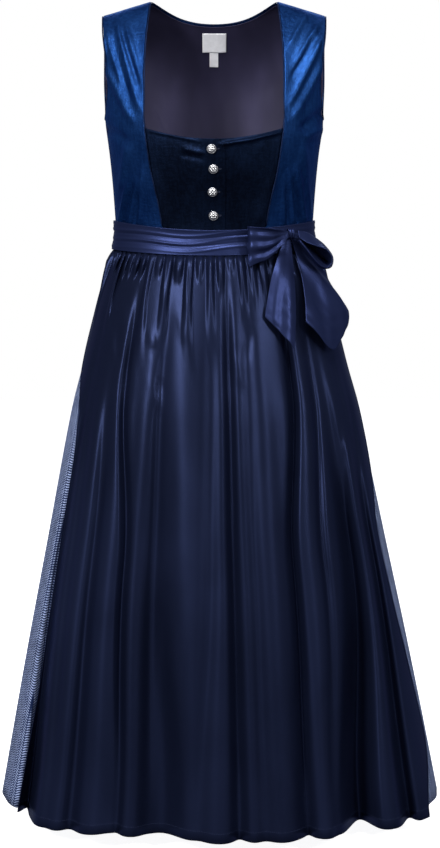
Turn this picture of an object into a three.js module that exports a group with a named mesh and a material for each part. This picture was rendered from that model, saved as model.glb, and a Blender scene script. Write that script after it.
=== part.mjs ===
import * as THREE from 'three';

// Long dirndl with a velvet bodice, a satin apron tied in a bow and a printed skirt.
// Millimetres, +Z up, front towards -Y. The origin lies midway between the shoulders.

// Cloth and trim
const velvet = 1.4;
const satin = 1.0;
const cotton = 1.0;
const liningCloth = 1.0;
const bandCloth = 1.6;
const labelTape = 1.0;
const seam = 0.3;
const cordRadius = 1.2;

// Cut
const shoulderHalfWidth = 201;
const neckHalfWidth = 110;
const backNeckDrop = 36;
const frontNeckDrop = 238;
const frontNeckRise = 20;
const shoulderSlope = 0.3;
const shoulderAngle = 71.5;
const underarmDrop = 203;
const waistDrop = 415;
const waistRise = 12;
const bandTopDrop = 389;
const bandTopRise = 15;
const bandBottomDrop = 434;
const bandBottomRise = 9;
const apronLength = 1399;
const skirtFrontLength = 1397;
const skirtSideLength = 1380;
const skirtBackLength = 1390;
const apronGathers = 32;
const skirtGathers = 27;
const buttonDiameter = 16.7;
const knotAngle = 45;
const knotDrop = 396;
const tailTop = -405.2;

// Torso sections: height, half width, and depth in front of and behind the side seams.
// The run column is the way down the cloth from the shoulder seam.
const torso = [
  { run: -450, z: -450, half: 174, front: 127, back: 110 },
  { run: -400, z: -400, half: 169, front: 121, back: 105 },
  { run: -370, z: -370, half: 170, front: 127, back: 106 },
  { run: -340, z: -340, half: 173, front: 135, back: 109 },
  { run: -285, z: -285, half: 177, front: 154, back: 111 },
  { run: -235, z: -235, half: 184, front: 164, back: 115 },
  { run: -185, z: -185, half: 191, front: 152, back: 119 },
  { run: -130, z: -130, half: 199, front: 127, back: 116 },
  { run: -70, z: -70, half: 201, front: 92, back: 99 },
  { run: -28, z: -28, half: 201, front: 49, back: 65 },
  { run: -10, z: -7, half: shoulderHalfWidth, front: 24, back: 32 },
  { run: 0, z: 0, half: shoulderHalfWidth, front: 0, back: 0 },
];

// Front seam from the shoulder past the neck corner to the waist: distance from the centre.
const frontSeam = [
  { run: -450, x: 81 },
  { run: -375, x: 88 },
  { run: -340, x: 94 },
  { run: -300, x: 104 },
  { run: -255, x: 111 },
  { run: -215, x: 116 },
  { run: -175, x: 118 },
  { run: -130, x: 119 },
  { run: -65, x: 117 },
  { run: 0, x: neckHalfWidth },
];

// Edge of the overlapping right front, rounded at its upper corner.
const placket = [
  { run: -450, x: 19 },
  { run: -290, x: 19 },
  { run: -262, x: 19 },
  { run: -250, x: 17 },
  { run: -243, x: 12 },
  { run: -239, x: 8 },
  { run: -237, x: 5 },
];

// Angles in degrees from the front centre line, or from the back centre line.
const frontArmhole = [
  { run: -underarmDrop, angle: 90 },
  { run: -201, angle: 85 },
  { run: -196, angle: 80 },
  { run: -185, angle: 75 },
  { run: -165, angle: 69 },
  { run: -130, angle: 65 },
  { run: -90, angle: 66.5 },
  { run: -45, angle: 69.5 },
  { run: 0, angle: shoulderAngle },
];
const backArmhole = [
  { run: -underarmDrop, angle: 90 },
  { run: -201, angle: 86 },
  { run: -196, angle: 83 },
  { run: -185, angle: 80 },
  { run: -165, angle: 77 },
  { run: -135, angle: 73.5 },
  { run: -110, angle: 72 },
  { run: -60, angle: 71.5 },
  { run: 0, angle: shoulderAngle },
];
const backSeam = [
  { run: -450, angle: 20 },
  { run: -370, angle: 22.5 },
  { run: -315, angle: 26 },
  { run: -255, angle: 32.5 },
  { run: -200, angle: 43 },
  { run: -160, angle: 57 },
  { run: -147, angle: 65 },
  { run: -136, angle: 72.7 },
];
const backSeamTop = -130;

// Skirt rings below the waist seam; shift moves the hem towards the wearer's left.
const skirtRings = [
  { z: -1410, half: 390, front: 297, back: 305, shift: 10 },
  { z: -1380, half: 385, front: 292, back: 300, shift: 10 },
  { z: -1130, half: 337, front: 256, back: 262, shift: 7 },
  { z: -915, half: 293, front: 223, back: 229, shift: 4 },
  { z: -705, half: 250, front: 190, back: 195, shift: 1 },
  { z: -630, half: 230, front: 177, back: 180, shift: 0 },
  { z: -565, half: 214, front: 166, back: 166, shift: 0 },
  { z: -495, half: 196, front: 151, back: 147, shift: 0 },
  { z: -448, half: 180, front: 136, back: 122, shift: 0 },
  { z: -427, half: 172, front: 125, back: 109, shift: 0 },
  { z: -398, half: 169, front: 121, back: 105, shift: 0 },
];

// Long folds: angle at mid height and at the hem, depth at the hem, width in degrees.
const frontFolds = [
  { middle: -64, hem: -59.5, depth: 60, width: 3.6 },
  { middle: -44, hem: -41, depth: 22, width: 3.0 },
  { middle: -32, hem: -28, depth: 16, width: 3.2 },
  { middle: -20, hem: -14.5, depth: 64, width: 6.5 },
  { middle: -2, hem: -5, depth: 10, width: 2.6 },
  { middle: 6, hem: 5, depth: 24, width: 2.6 },
  { middle: 12, hem: 11.5, depth: 12, width: 2.4 },
  { middle: 23.5, hem: 22, depth: 24, width: 3.4 },
  { middle: 50, hem: 38, depth: 96, width: 5.0 },
  { middle: 63, hem: 57, depth: 40, width: 3.2 },
];
const backFolds = [
  { middle: -62, hem: -60, depth: 34, width: 4.6 },
  { middle: -42, hem: -45, depth: 52, width: 5.6 },
  { middle: -27, hem: -26, depth: 30, width: 4.0 },
  { middle: -7, hem: -9, depth: 64, width: 6.4 },
  { middle: 11, hem: 12, depth: 28, width: 4.4 },
  { middle: 28, hem: 31, depth: 58, width: 6.0 },
  { middle: 50, hem: 48, depth: 36, width: 4.8 },
  { middle: 66, hem: 64, depth: 22, width: 4.2 },
];

// Side edges of the apron, in degrees to the wearer's right and left.
const apronEdges = [
  { z: -1400, right: 68, left: 68.5 },
  { z: -1380, right: 68, left: 69 },
  { z: -1280, right: 66, left: 76 },
  { z: -1175, right: 65, left: 75 },
  { z: -1005, right: 65.5, left: 72 },
  { z: -895, right: 66, left: 72 },
  { z: -830, right: 66, left: 77 },
  { z: -760, right: 67, left: 82 },
  { z: -685, right: 72, left: 86 },
  { z: -630, right: 81, left: 88 },
  { z: -565, right: 86, left: 89 },
  { z: -422, right: 88, left: 89 },
];

// How far the apron stands off the skirt, and the height of its gathers.
const apronLoft = [
  { z: -1400, off: 6, gather: 0 },
  { z: -1125, off: 5.5, gather: 0.5 },
  { z: -915, off: 5, gather: 1.2 },
  { z: -705, off: 5, gather: 1.8 },
  { z: -565, off: 6, gather: 2.8 },
  { z: -495, off: 7.3, gather: 4 },
  { z: -458, off: 8.6, gather: 4.6 },
  { z: -442, off: 8, gather: 3.8 },
  { z: -434, off: 7, gather: 2.4 },
  { z: -422, off: 6.5, gather: 2.2 },
];

// Height of the gathers at the back of the skirt.
const skirtLoft = [
  { z: -1400, gather: 0 },
  { z: -915, gather: 1.6 },
  { z: -705, gather: 3 },
  { z: -550, gather: 4.6 },
  { z: -472, gather: 5 },
  { z: -447, gather: 3.8 },
  { z: -433, gather: 1.8 },
  { z: -398, gather: 1.4 },
];

// Surface just outside the band and the apron, on which the bow lies.
const outside = [
  { z: -630, half: 240, front: 188 },
  { z: -565, half: 225, front: 178 },
  { z: -495, half: 210, front: 165 },
  { z: -452, half: 197, front: 152 },
  { z: -429, half: 183, front: 137 },
  { z: -396, half: 177, front: 130 },
  { z: -372, half: 177, front: 134 },
];

// Bow loops, from the knot along the inner layer and back along the outer layer.
const loopRight = [
  { angle: 46.6, out: 4.6, top: -393, bottom: -399 },
  { angle: 50, out: 6.5, top: -393, bottom: -407 },
  { angle: 56, out: 10, top: -396, bottom: -424 },
  { angle: 63, out: 15, top: -401, bottom: -443 },
  { angle: 70, out: 21, top: -409, bottom: -459 },
  { angle: 75, out: 27, top: -418, bottom: -460 },
  { angle: 77.5, out: 32, top: -424, bottom: -453 },
  { angle: 76, out: 37, top: -421, bottom: -444 },
  { angle: 72, out: 39, top: -411, bottom: -437 },
  { angle: 65, out: 36, top: -402, bottom: -431 },
  { angle: 57, out: 28, top: -397, bottom: -422 },
  { angle: 50.5, out: 18, top: -394, bottom: -409 },
  { angle: 46.6, out: 9.4, top: -393, bottom: -399 },
];
const loopLeft = [
  { angle: 43.4, out: 4.6, top: -393, bottom: -399 },
  { angle: 40, out: 2.6, top: -391, bottom: -405 },
  { angle: 34, out: 1.6, top: -389, bottom: -416 },
  { angle: 27, out: 1.4, top: -387, bottom: -429 },
  { angle: 20, out: 1.5, top: -385, bottom: -442 },
  { angle: 16.5, out: 2.6, top: -384, bottom: -448 },
  { angle: 15, out: 6.5, top: -384, bottom: -451 },
  { angle: 16.2, out: 10.5, top: -384, bottom: -449 },
  { angle: 20, out: 13.5, top: -385, bottom: -442 },
  { angle: 27, out: 16, top: -387, bottom: -430 },
  { angle: 34, out: 16, top: -389, bottom: -418 },
  { angle: 40, out: 13, top: -391, bottom: -406 },
  { angle: 43.4, out: 9.4, top: -393, bottom: -399 },
];

// Bow tails: side edges in degrees, stand-off of each edge, by height.
const tailInner = [
  { z: -590, left: 22.5, right: 34.5, outLeft: 1, outRight: 5 },
  { z: -535, left: 23, right: 38, outLeft: 0.6, outRight: 4 },
  { z: -505, left: 25, right: 39.5, outLeft: 0.6, outRight: 3 },
  { z: -460, left: 29.5, right: 42.5, outLeft: 0.8, outRight: 2.4 },
  { z: -430, left: 36, right: 45.4, outLeft: 1.6, outRight: 2.4 },
  { z: -404, left: 41.5, right: 45.4, outLeft: 4.6, outRight: 4.6 },
];
const tailOuter = [
  { z: -595, left: 41, right: 73, outLeft: 4, outRight: 10 },
  { z: -550, left: 43, right: 77, outLeft: 4, outRight: 16 },
  { z: -530, left: 44, right: 78, outLeft: 4, outRight: 18 },
  { z: -495, left: 46, right: 75, outLeft: 1.6, outRight: 10 },
  { z: -460, left: 48, right: 71, outLeft: 1.2, outRight: 2 },
  { z: -430, left: 48.4, right: 60, outLeft: 1.4, outRight: 1.4 },
  { z: -404, left: 46.2, right: 49.5, outLeft: 4.2, outRight: 3.6 },
];
const tailInnerEnd = [
  { across: 0, z: -535 },
  { across: 1, z: -590 },
];
const tailOuterEnd = [
  { across: 0, z: -546 },
  { across: 0.62, z: -595 },
  { across: 1, z: -530 },
];

// Button centres, and the profile of a button from the back to the top of its dome.
const buttons = [
  { x: -4, z: -254 },
  { x: -1, z: -287 },
  { x: -2.5, z: -325 },
  { x: -1, z: -365 },
];
const buttonProfile = [
  { share: 0.86, rise: 0, petal: 0 },
  { share: 1.0, rise: 0.9, petal: 0 },
  { share: 0.88, rise: 2.0, petal: 0 },
  { share: 0.72, rise: 2.5, petal: 0.5 },
  { share: 0.4, rise: 3.7, petal: 0.6 },
  { share: 0.22, rise: 3.6, petal: 0 },
];
const buttonTop = 4.5;

// Materials
const blueVelvet = { color: 0x16335f, roughness: 0.75, metalness: 0 };
const navyVelvet = { color: 0x0c1830, roughness: 0.8, metalness: 0 };
const navySatin = { color: 0x22294a, roughness: 0.38, metalness: 0 };
const bandSatin = { color: 0x3a4676, roughness: 0.38, metalness: 0 };
const printedCotton = { color: 0x52607c, roughness: 0.9, metalness: 0 };
const aubergineLining = { color: 0x282737, roughness: 0.7, metalness: 0 };
const darkCord = { color: 0x0b1222, roughness: 0.6, metalness: 0 };
const oldSilver = { color: 0xc8cacc, roughness: 0.35, metalness: 0.9 };
const paleTape = { color: 0xe0e0e8, roughness: 0.7, metalness: 0 };

const toRad = THREE.MathUtils.degToRad;
const lerp = THREE.MathUtils.lerp;
const smooth = THREE.MathUtils.smoothstep;

// Smooth curve through one column of a table, read at a place in its key column.
function read(table, key, column, place) {
  const rows = [...table].sort((a, b) => a[key] - b[key]);
  const last = rows.length - 1;
  if (place <= rows[0][key]) return rows[0][column];
  if (place >= rows[last][key]) return rows[last][column];
  let k = 0;
  while (rows[k + 1][key] < place) k += 1;
  const slope = (i, j) => (rows[j][column] - rows[i][column]) / (rows[j][key] - rows[i][key]);
  const span = rows[k + 1][key] - rows[k][key];
  const before = slope(Math.max(k - 1, 0), k + 1) * span;
  const after = slope(k, Math.min(k + 2, last)) * span;
  const t = (place - rows[k][key]) / span;
  const ends = lerp(rows[k][column], rows[k + 1][column], t * t * (3 - 2 * t));
  return ends + before * t * (1 - t) ** 2 - after * t * t * (1 - t);
}

// Evenly spaced places from 0 to 1.
function even(count) {
  return Array.from({ length: count + 1 }, (_, k) => k / count);
}

// Closed body from vertex positions and triangles, turned to face outwards.
function body(name, points, faces, look) {
  let volume = 0;
  for (const [a, b, c] of faces) {
    volume += points[a].dot(points[b].clone().cross(points[c]));
  }
  const index = volume < 0 ? faces.map(([a, b, c]) => [a, c, b]) : faces;
  const geometry = new THREE.BufferGeometry();
  geometry.setFromPoints(points);
  geometry.setIndex(index.flat());
  geometry.computeVertexNormals();
  const mesh = new THREE.Mesh(geometry, new THREE.MeshStandardMaterial(look));
  mesh.name = name;
  return mesh;
}

// Cloth wall: a grid of places with their normals, given thickness and closed at its edges.
// A band is joined to itself across.
function cloth(name, across, down, place, thickness, look, band = false) {
  const wide = across.length;
  const tall = down.length;
  const points = [];
  for (const side of [0.5, -0.5]) {
    for (const v of down) {
      for (const u of across) {
        const { point, normal } = place(u, v);
        points.push(point.clone().addScaledVector(normal, side * thickness));
      }
    }
  }
  const at = (layer, i, j) => (layer * tall + j) * wide + (i % wide);
  const faces = [];
  const quad = (a, b, c, d) => faces.push([a, b, c], [a, c, d]);
  const steps = band ? wide : wide - 1;
  for (let j = 0; j < tall - 1; j += 1) {
    for (let i = 0; i < steps; i += 1) {
      quad(at(0, i, j), at(0, i + 1, j), at(0, i + 1, j + 1), at(0, i, j + 1));
      quad(at(1, i, j), at(1, i, j + 1), at(1, i + 1, j + 1), at(1, i + 1, j));
    }
  }
  for (let i = 0; i < steps; i += 1) {
    const top = tall - 1;
    quad(at(0, i, 0), at(1, i, 0), at(1, i + 1, 0), at(0, i + 1, 0));
    quad(at(0, i, top), at(0, i + 1, top), at(1, i + 1, top), at(1, i, top));
  }
  if (!band) {
    for (let j = 0; j < tall - 1; j += 1) {
      const end = wide - 1;
      quad(at(0, 0, j), at(0, 0, j + 1), at(1, 0, j + 1), at(1, 0, j));
      quad(at(0, end, j), at(1, end, j), at(1, end, j + 1), at(0, end, j + 1));
    }
  }
  return body(name, points, faces, look);
}

// Cord swept along places that carry a direction for the section; a ring closes on itself.
function cord(name, places, radius, look, ring = false) {
  const sides = 5;
  const count = places.length;
  const points = [];
  places.forEach(({ point, normal }, k) => {
    const ahead = places[ring ? (k + 1) % count : Math.min(k + 1, count - 1)].point;
    const behind = places[ring ? (k + count - 1) % count : Math.max(k - 1, 0)].point;
    const way = ahead.clone().sub(behind).normalize();
    const flat = way.clone().cross(normal).normalize();
    const rise = flat.clone().cross(way);
    for (let s = 0; s < sides; s += 1) {
      const turn = (2 * Math.PI * s) / sides;
      const arm = flat.clone().multiplyScalar(Math.cos(turn));
      arm.addScaledVector(rise, Math.sin(turn));
      points.push(point.clone().addScaledVector(arm, radius));
    }
  });
  const faces = [];
  const at = (k, s) => (k % count) * sides + (s % sides);
  for (let k = 0; k < (ring ? count : count - 1); k += 1) {
    for (let s = 0; s < sides; s += 1) {
      faces.push([at(k, s), at(k + 1, s), at(k + 1, s + 1)]);
      faces.push([at(k, s), at(k + 1, s + 1), at(k, s + 1)]);
    }
  }
  if (!ring) {
    for (let s = 1; s < sides - 1; s += 1) {
      faces.push([at(0, 0), at(0, s), at(0, s + 1)]);
      faces.push([at(count - 1, 0), at(count - 1, s + 1), at(count - 1, s)]);
    }
  }
  return body(name, points, faces, look);
}

// Point of the torso at an angle from the front centre and a run below the shoulder seam.
function torsoPoint(angle, run) {
  const half = read(torso, 'run', 'half', run);
  const toFront = Math.cos(angle) >= 0;
  const depth = read(torso, 'run', toFront ? 'front' : 'back', run);
  const share = lerp(Math.abs(Math.cos(angle)), 0.8, smooth(run, -150, -20));
  const x = half * Math.sin(angle);
  const slope = Math.max(0, Math.abs(x) - neckHalfWidth) * shoulderSlope;
  const z = read(torso, 'run', 'z', run) - slope * smooth(run, -120, 0);
  return new THREE.Vector3(x, (toFront ? -1 : 1) * depth * share, z);
}

// Torso surface with its outward normal, moved off by a lift. It levels at the shoulder seam.
function onTorso(angle, run, lift = 0) {
  const low = Math.min(run, -0.5);
  const step = 0.002;
  const around = torsoPoint(angle + step, low).sub(torsoPoint(angle - step, low));
  const upward = torsoPoint(angle, low + 0.4).sub(torsoPoint(angle, low - 0.4));
  const normal = around.cross(upward).normalize();
  normal.lerp(new THREE.Vector3(0, 0, 1), smooth(run, -9, 0)).normalize();
  const point = torsoPoint(angle, run).addScaledVector(normal, lift);
  return { point, normal };
}

const rise = (angle) => Math.sin(angle) ** 2;
const waistRun = (angle) => -waistDrop + waistRise * rise(angle);
const frontSeamAngle = (run) => {
  return Math.asin(read(frontSeam, 'run', 'x', run) / read(torso, 'run', 'half', run));
};
const frontNeck = (x) => -frontNeckDrop + frontNeckRise * (x / 117) ** 2;
const backNeck = (x) => -backNeckDrop * (1 - Math.min(1, Math.abs(x) / neckHalfWidth) ** 2.4);
const trim = (run) => seam / 2 / read(torso, 'run', 'half', run);

// Front panels between the seam and the button closing. The right one laps over the left.
const waistHalf = read(torso, 'run', 'half', -waistDrop);
const frontUp = [0, 0.135, 0.29, 0.45, 0.6, 0.74, 0.85, 0.93, 0.975, 1];
const neckCorner = frontNeck(read(frontSeam, 'run', 'x', -frontNeckDrop));

function frontPanel(name, outer, inner, lift) {
  const place = (u, v) => {
    const topX = lerp(outer(-frontNeckDrop), inner(-frontNeckDrop), u);
    const footX = lerp(outer(-waistDrop), inner(-waistDrop), u);
    const foot = waistRun(Math.asin(footX / waistHalf)) + seam / 2;
    const run = lerp(foot, frontNeck(topX), v);
    const x = lerp(outer(run), inner(run), u);
    return onTorso(Math.asin(x / read(torso, 'run', 'half', run)), run, lift(x));
  };
  return cloth(name, even(7), frontUp, place, velvet, navyVelvet);
}

const frontSeamX = (run) => read(frontSeam, 'run', 'x', run) - seam / 2;
const lap = velvet + seam + 0.2;
const frontRight = frontPanel(
  'bodice_front_right',
  (run) => -frontSeamX(run),
  (run) => read(placket, 'run', 'x', run),
  (x) => lap * smooth(x, -62, -24),
);
const frontLeft = frontPanel(
  'bodice_front_left',
  () => -17,
  frontSeamX,
  () => 0,
);

// Rows of the side fronts: up to the neck corner they meet those of the front panels.
const strapRuns = [
  -underarmDrop, -201, -196, -185, -165, -135, -100, -66, -38, -20, -10, -5, -seam / 2,
];
const strapUp = strapRuns.map((run) => 1 + (run - neckCorner) / 1000);

function sideRun(u, v) {
  const foot = waistRun(lerp(frontSeamAngle(-waistDrop), Math.PI / 2, u)) + seam / 2;
  return v > 1 ? neckCorner + (v - 1) * 1000 : lerp(foot, neckCorner, v);
}

// Side fronts run on over the shoulder as the front of the straps.
function sideFront(name, hand) {
  const place = (u, v) => {
    const run = sideRun(u, v);
    const near = frontSeamAngle(run) + trim(run);
    const far = toRad(read(frontArmhole, 'run', 'angle', run)) - trim(run);
    return onTorso(hand * lerp(near, far, u), run);
  };
  return cloth(name, even(5), [...frontUp, ...strapUp], place, velvet, blueVelvet);
}

// Back panel with the backs of the straps and the scooped neck between them.
const neckShare = toRad(shoulderAngle);
const neckColumn = Math.asin(neckHalfWidth / shoulderHalfWidth) / neckShare;
const backColumns = [1, 0.82, 0.64, neckColumn, 0.425, 0.36, 0.25, 0.12];
const backAcross = [...backColumns.map((u) => -u), 0, ...[...backColumns].reverse()];
const sideUp = [0, 0.16, 0.33, 0.495, 0.5, 0.513, 0.54, 0.59, 0.63, 0.67];
const lastRow = 0.988;
const liningTuck = 0.6;
const liningUp = [...sideUp, 0.735, 0.8, 0.87, 0.93, 0.97, lastRow, 0.996];
const backUp = [...liningUp.slice(0, -1), 1];
const sideFoot = waistRun(Math.PI / 2) + seam / 2;

function backTop(u) {
  const x = shoulderHalfWidth * Math.sin(u * neckShare);
  return Math.abs(u) > neckColumn - 0.001 ? -seam / 2 : Math.min(backNeck(x), -seam / 2);
}

const backFoot = (u) => waistRun(u * backSeamEdge(-waistDrop)) + seam / 2;

// The lining ends a little below the neck edge, tucked in from the velvet.
function backCentre(name, up, lift, thickness, look) {
  const row = (u, v) => {
    const run = lerp(backFoot(u), backTop(u), v);
    return onTorso(Math.PI - u * (backSeamEdge(run) - trim(run)), run, lift);
  };
  const place = (u, v) => {
    if (v <= lastRow || v === 1) return row(u, v);
    const [low, high] = [row(u, lastRow), row(u, 1)];
    const share = (v - lastRow) / (1 - lastRow);
    low.point.lerp(high.point, share).addScaledVector(low.normal, -liningTuck);
    return low;
  };
  return cloth(name, backAcross, up, place, thickness, look);
}

function backSeamEdge(run) {
  const table = run < backSeamTop ? backSeam : backArmhole;
  return toRad(read(table, 'run', 'angle', run));
}

function backSide(name, hand, lift, thickness, look) {
  const place = (u, v) => {
    const foot = waistRun(lerp(backSeamEdge(-waistDrop), Math.PI / 2, u)) + seam / 2;
    const run = lerp(foot, -seam / 2, v);
    const near = backSeamEdge(run) + trim(run);
    const far = toRad(read(backArmhole, 'run', 'angle', run)) - trim(run);
    return onTorso(Math.PI - hand * lerp(near, far, u), run, lift);
  };
  return cloth(name, even(4), sideUp, place, thickness, look);
}

// Lining inside the back panels; the neck label and the care label lie on it.
const liningLift = -(velvet / 2 + seam + liningCloth / 2);
const labelLift = liningLift - liningCloth / 2 - seam - labelTape / 2 - 0.6;

function label(name, left, right, top, bottom) {
  const place = (u, v) => {
    const run = lerp(bottom, top, v);
    const x = lerp(left, right, u);
    return onTorso(Math.PI - Math.asin(x / read(torso, 'run', 'half', run)), run, labelLift);
  };
  return cloth(name, even(3), even(3), place, labelTape, paleTape);
}

// Cord beside an edge: its centre lies across the edge, or above the seam where raised.
function edgeCord(name, path, raised, ring = false) {
  const count = path.length;
  const bare = path.map(({ angle, run }) => onTorso(angle, run));
  const reach = cordRadius + seam / 2 + 0.1;
  const places = bare.map(({ point, normal }, k) => {
    const ahead = bare[ring ? (k + 1) % count : Math.min(k + 1, count - 1)].point;
    const behind = bare[ring ? (k + count - 1) % count : Math.max(k - 1, 0)].point;
    const way = ahead.clone().sub(behind).normalize();
    const across = way.clone().cross(normal).normalize();
    const turn = (raised(path[k].run) * Math.PI) / 2;
    const centre = point.clone().addScaledVector(across, reach * Math.cos(turn));
    centre.addScaledVector(normal, (reach + velvet / 2 + 0.1) * Math.sin(turn));
    return { point: centre, normal };
  });
  if (!ring) {
    const ends = [[0, 1], [count - 1, count - 2]];
    for (const [end, next] of ends) {
      const length = places[end].point.distanceTo(places[next].point);
      places[end].point.lerp(places[next].point, 0.8 / length);
    }
  }
  return cord(name, places, cordRadius, darkCord, ring);
}

const bandTop = (angle) => -bandTopDrop + bandTopRise * rise(angle);
const bandBottom = (angle) => -bandBottomDrop + bandBottomRise * rise(angle);

// Cord along a strap's inner edge and down the front seam to the band.
function neckCord(name, hand) {
  const runs = [...frontUp.slice(1), ...strapUp].map((v) => sideRun(0, v));
  const path = runs.map((run) => ({ angle: hand * frontSeamAngle(run), run }));
  const ordered = hand > 0 ? path.reverse() : path;
  return edgeCord(name, ordered, (run) => smooth(-run, 164, 203));
}

// Cord along the back neckline from one shoulder seam to the other.
function backNeckCord() {
  const columns = backAcross.filter((u) => Math.abs(u) < neckColumn + 0.001);
  const path = columns.map((u) => ({ angle: Math.PI - u * neckShare, run: backTop(u) }));
  return edgeCord('cord_neck_back', path, () => 0);
}

// Cord round an armhole, down the front edge and up the back edge.
function armholeCord(name, hand) {
  const frontRuns = [0, ...strapRuns.slice(0, -1).reverse()];
  const lowRuns = sideUp.filter((v) => v > 0.497).map((v) => lerp(sideFoot, -seam / 2, v));
  const highUp = backUp.filter((v) => v > 0.7 && v < 1);
  const highRuns = highUp.map((v) => lerp(backFoot(1), -seam / 2, v));
  const turn = (table, run) => toRad(read(table, 'run', 'angle', run));
  const path = [
    ...frontRuns.map((run) => ({ angle: hand * turn(frontArmhole, run), run })),
    ...[...lowRuns, ...highRuns].map((run) => {
      return { angle: hand * (Math.PI - turn(backArmhole, run)), run };
    }),
  ];
  const ordered = hand > 0 ? path.reverse() : path;
  return edgeCord(name, ordered, () => 0, true);
}

// Satin band round the waist, with three soft pleats along it.
function bandPlace(u, v) {
  const angle = 2 * Math.PI * u;
  const run = lerp(bandBottom(angle), bandTop(angle), v);
  const pleat = 0.7 * Math.sin(7.5 * v + 0.9 * Math.sin(3 * angle));
  return onTorso(angle, run, lerp(6.9, 5, v) + pleat * Math.sin(Math.PI * v));
}

// Inward shift of the long folds at an angle and height. Wider folds go under narrow ones.
function foldShift(folds, angle, z, wider) {
  const growth = smooth(-z, 430, apronLength + 380) / smooth(apronLength, 430, apronLength + 380);
  let shift = 0;
  for (const { middle, hem, depth, width } of folds) {
    const centre = lerp(middle, hem, smooth(-z, 900, apronLength));
    const away = (THREE.MathUtils.radToDeg(angle) - centre) / (width * wider);
    shift += depth * growth * Math.exp(-away * away);
  }
  return shift;
}

// Skirt surface at an angle from the front centre, moved out and folded. Away from the side
// seams it is moved straight forwards or backwards, so that layers keep clear in the folds.
function skirtPoint(angle, z, off, wider) {
  const ring = (column) => read(skirtRings, 'z', column, z);
  const half = ring('half');
  const toFront = Math.cos(angle) >= 0;
  const depth = ring(toFront ? 'front' : 'back');
  const way = toFront ? -1 : 1;
  const flat = Math.abs(Math.cos(angle));
  const normal = new THREE.Vector3(Math.sin(angle) / half, (way * flat) / depth, 0).normalize();
  const turned = toFront ? angle : Math.PI * Math.sign(angle) - angle;
  const shift = foldShift(toFront ? frontFolds : backFolds, turned, z, wider);
  const point = new THREE.Vector3(ring('shift') + half * Math.sin(angle), way * depth * flat, z);
  const straight = smooth(flat, 0.17, 0.42);
  point.addScaledVector(normal, off * (1 - straight));
  point.y += way * ((off * straight) / Math.max(Math.abs(normal.y), 0.1) - shift);
  return point;
}

// Place on a draped surface with the normal worked out from its neighbours.
function draped(surface) {
  return (u, v) => {
    const step = 0.0008;
    const across = surface(u + step, v).sub(surface(u - step, v));
    const downward = surface(u, v + step).sub(surface(u, v - step));
    return { point: surface(u, v), normal: across.cross(downward).normalize() };
  };
}

// Gathers of uneven width and height, counted along the gathered edge.
function gather(u, count) {
  const phase = u * count + 0.06 * Math.sin(9 * u) + 0.05 * Math.sin(23 * u + 1);
  const uneven = 0.8 + 0.2 * Math.sin(31 * u + 0.7);
  return uneven * Math.cos(2 * Math.PI * phase);
}

// Columns and rows of the apron. The skirt's front keeps to them under it, and its columns
// run on past the apron's side edges to the side seams.
const apronColumns = 2 * apronGathers;
const apronDown = [0, 0.01, 0.03, 0.07, 0.15, 0.28, 0.45, 0.64, 0.83, 1];
const stripColumns = 3;
const sideSeam = Math.PI / 2 - seam / 2 / 140;

function apronAngle(u, v) {
  const z = lerp(-bandBottomDrop, -apronLength, v);
  const right = -toRad(read(apronEdges, 'z', 'right', z));
  const left = toRad(read(apronEdges, 'z', 'left', z));
  const beyond = apronColumns / stripColumns;
  if (u < 0) return lerp(right, -sideSeam, -u * beyond);
  if (u > 1) return lerp(left, sideSeam, (u - 1) * beyond);
  return lerp(right, left, u);
}

function skirtFront() {
  const surface = (u, v) => {
    const low = Math.max(v, 0);
    const angle = apronAngle(u, low);
    const hem = -lerp(skirtFrontLength, skirtSideLength, rise(angle) ** 2);
    const under = bandBottom(angle) - seam;
    const top = waistRun(angle) - seam / 2;
    const z = v < 0 ? lerp(under, top, -v * 100) : lerp(under, hem, v);
    return skirtPoint(angle, z, 0.8 * gather(u, 12) * smooth(-z, 420, 470), 1.2);
  };
  const columns = even(apronColumns + 2 * stripColumns);
  const share = (apronColumns + 2 * stripColumns) / apronColumns;
  const across = columns.map((t) => (t - 0.5) * share + 0.5);
  const down = [-0.01, ...apronDown];
  return cloth('skirt_front', across, down, draped(surface), cotton, printedCotton);
}

function skirtBack() {
  const surface = (u, v) => {
    const angle = Math.PI + lerp(-sideSeam, sideSeam, u);
    const hem = -lerp(skirtBackLength, skirtSideLength, rise(angle) ** 2);
    const z = lerp(waistRun(angle) - seam / 2, hem, v);
    const lift = read(skirtLoft, 'z', 'gather', z) * smooth(rise(angle), 1, 0.96);
    const folded = angle > Math.PI ? angle - 2 * Math.PI : angle;
    return skirtPoint(folded, z, lift * gather(u, skirtGathers), 1);
  };
  const down = [0, 0.02, 0.05, 0.1, 0.2, 0.36, 0.56, 0.78, 1];
  const across = even(2 * skirtGathers);
  return cloth('skirt_back', across, down, draped(surface), cotton, printedCotton);
}

// Apron gathered on to the lower edge of the band; it lies over the skirt's folds.
function apron() {
  const surface = (u, v) => {
    const angle = apronAngle(u, v);
    const sway = 5 * Math.exp(-(((angle + 0.5) / 0.14) ** 2));
    const z = lerp(bandBottom(angle) - seam, sway - apronLength, v);
    const off = read(apronLoft, 'z', 'off', z);
    const lift = read(apronLoft, 'z', 'gather', z) * gather(u, apronGathers);
    return skirtPoint(angle, z, off + lift, 1);
  };
  return cloth('apron', even(apronColumns), apronDown, draped(surface), satin, navySatin);
}

// Place over the band and the apron, pushed out from them.
function outsidePoint(angle, z, out) {
  const half = read(outside, 'z', 'half', z);
  const front = read(outside, 'z', 'front', z);
  const normal = new THREE.Vector3(Math.sin(angle) / half, -Math.cos(angle) / front, 0);
  const point = new THREE.Vector3(half * Math.sin(angle), -front * Math.cos(angle), z);
  return point.addScaledVector(normal.normalize(), out);
}

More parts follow.
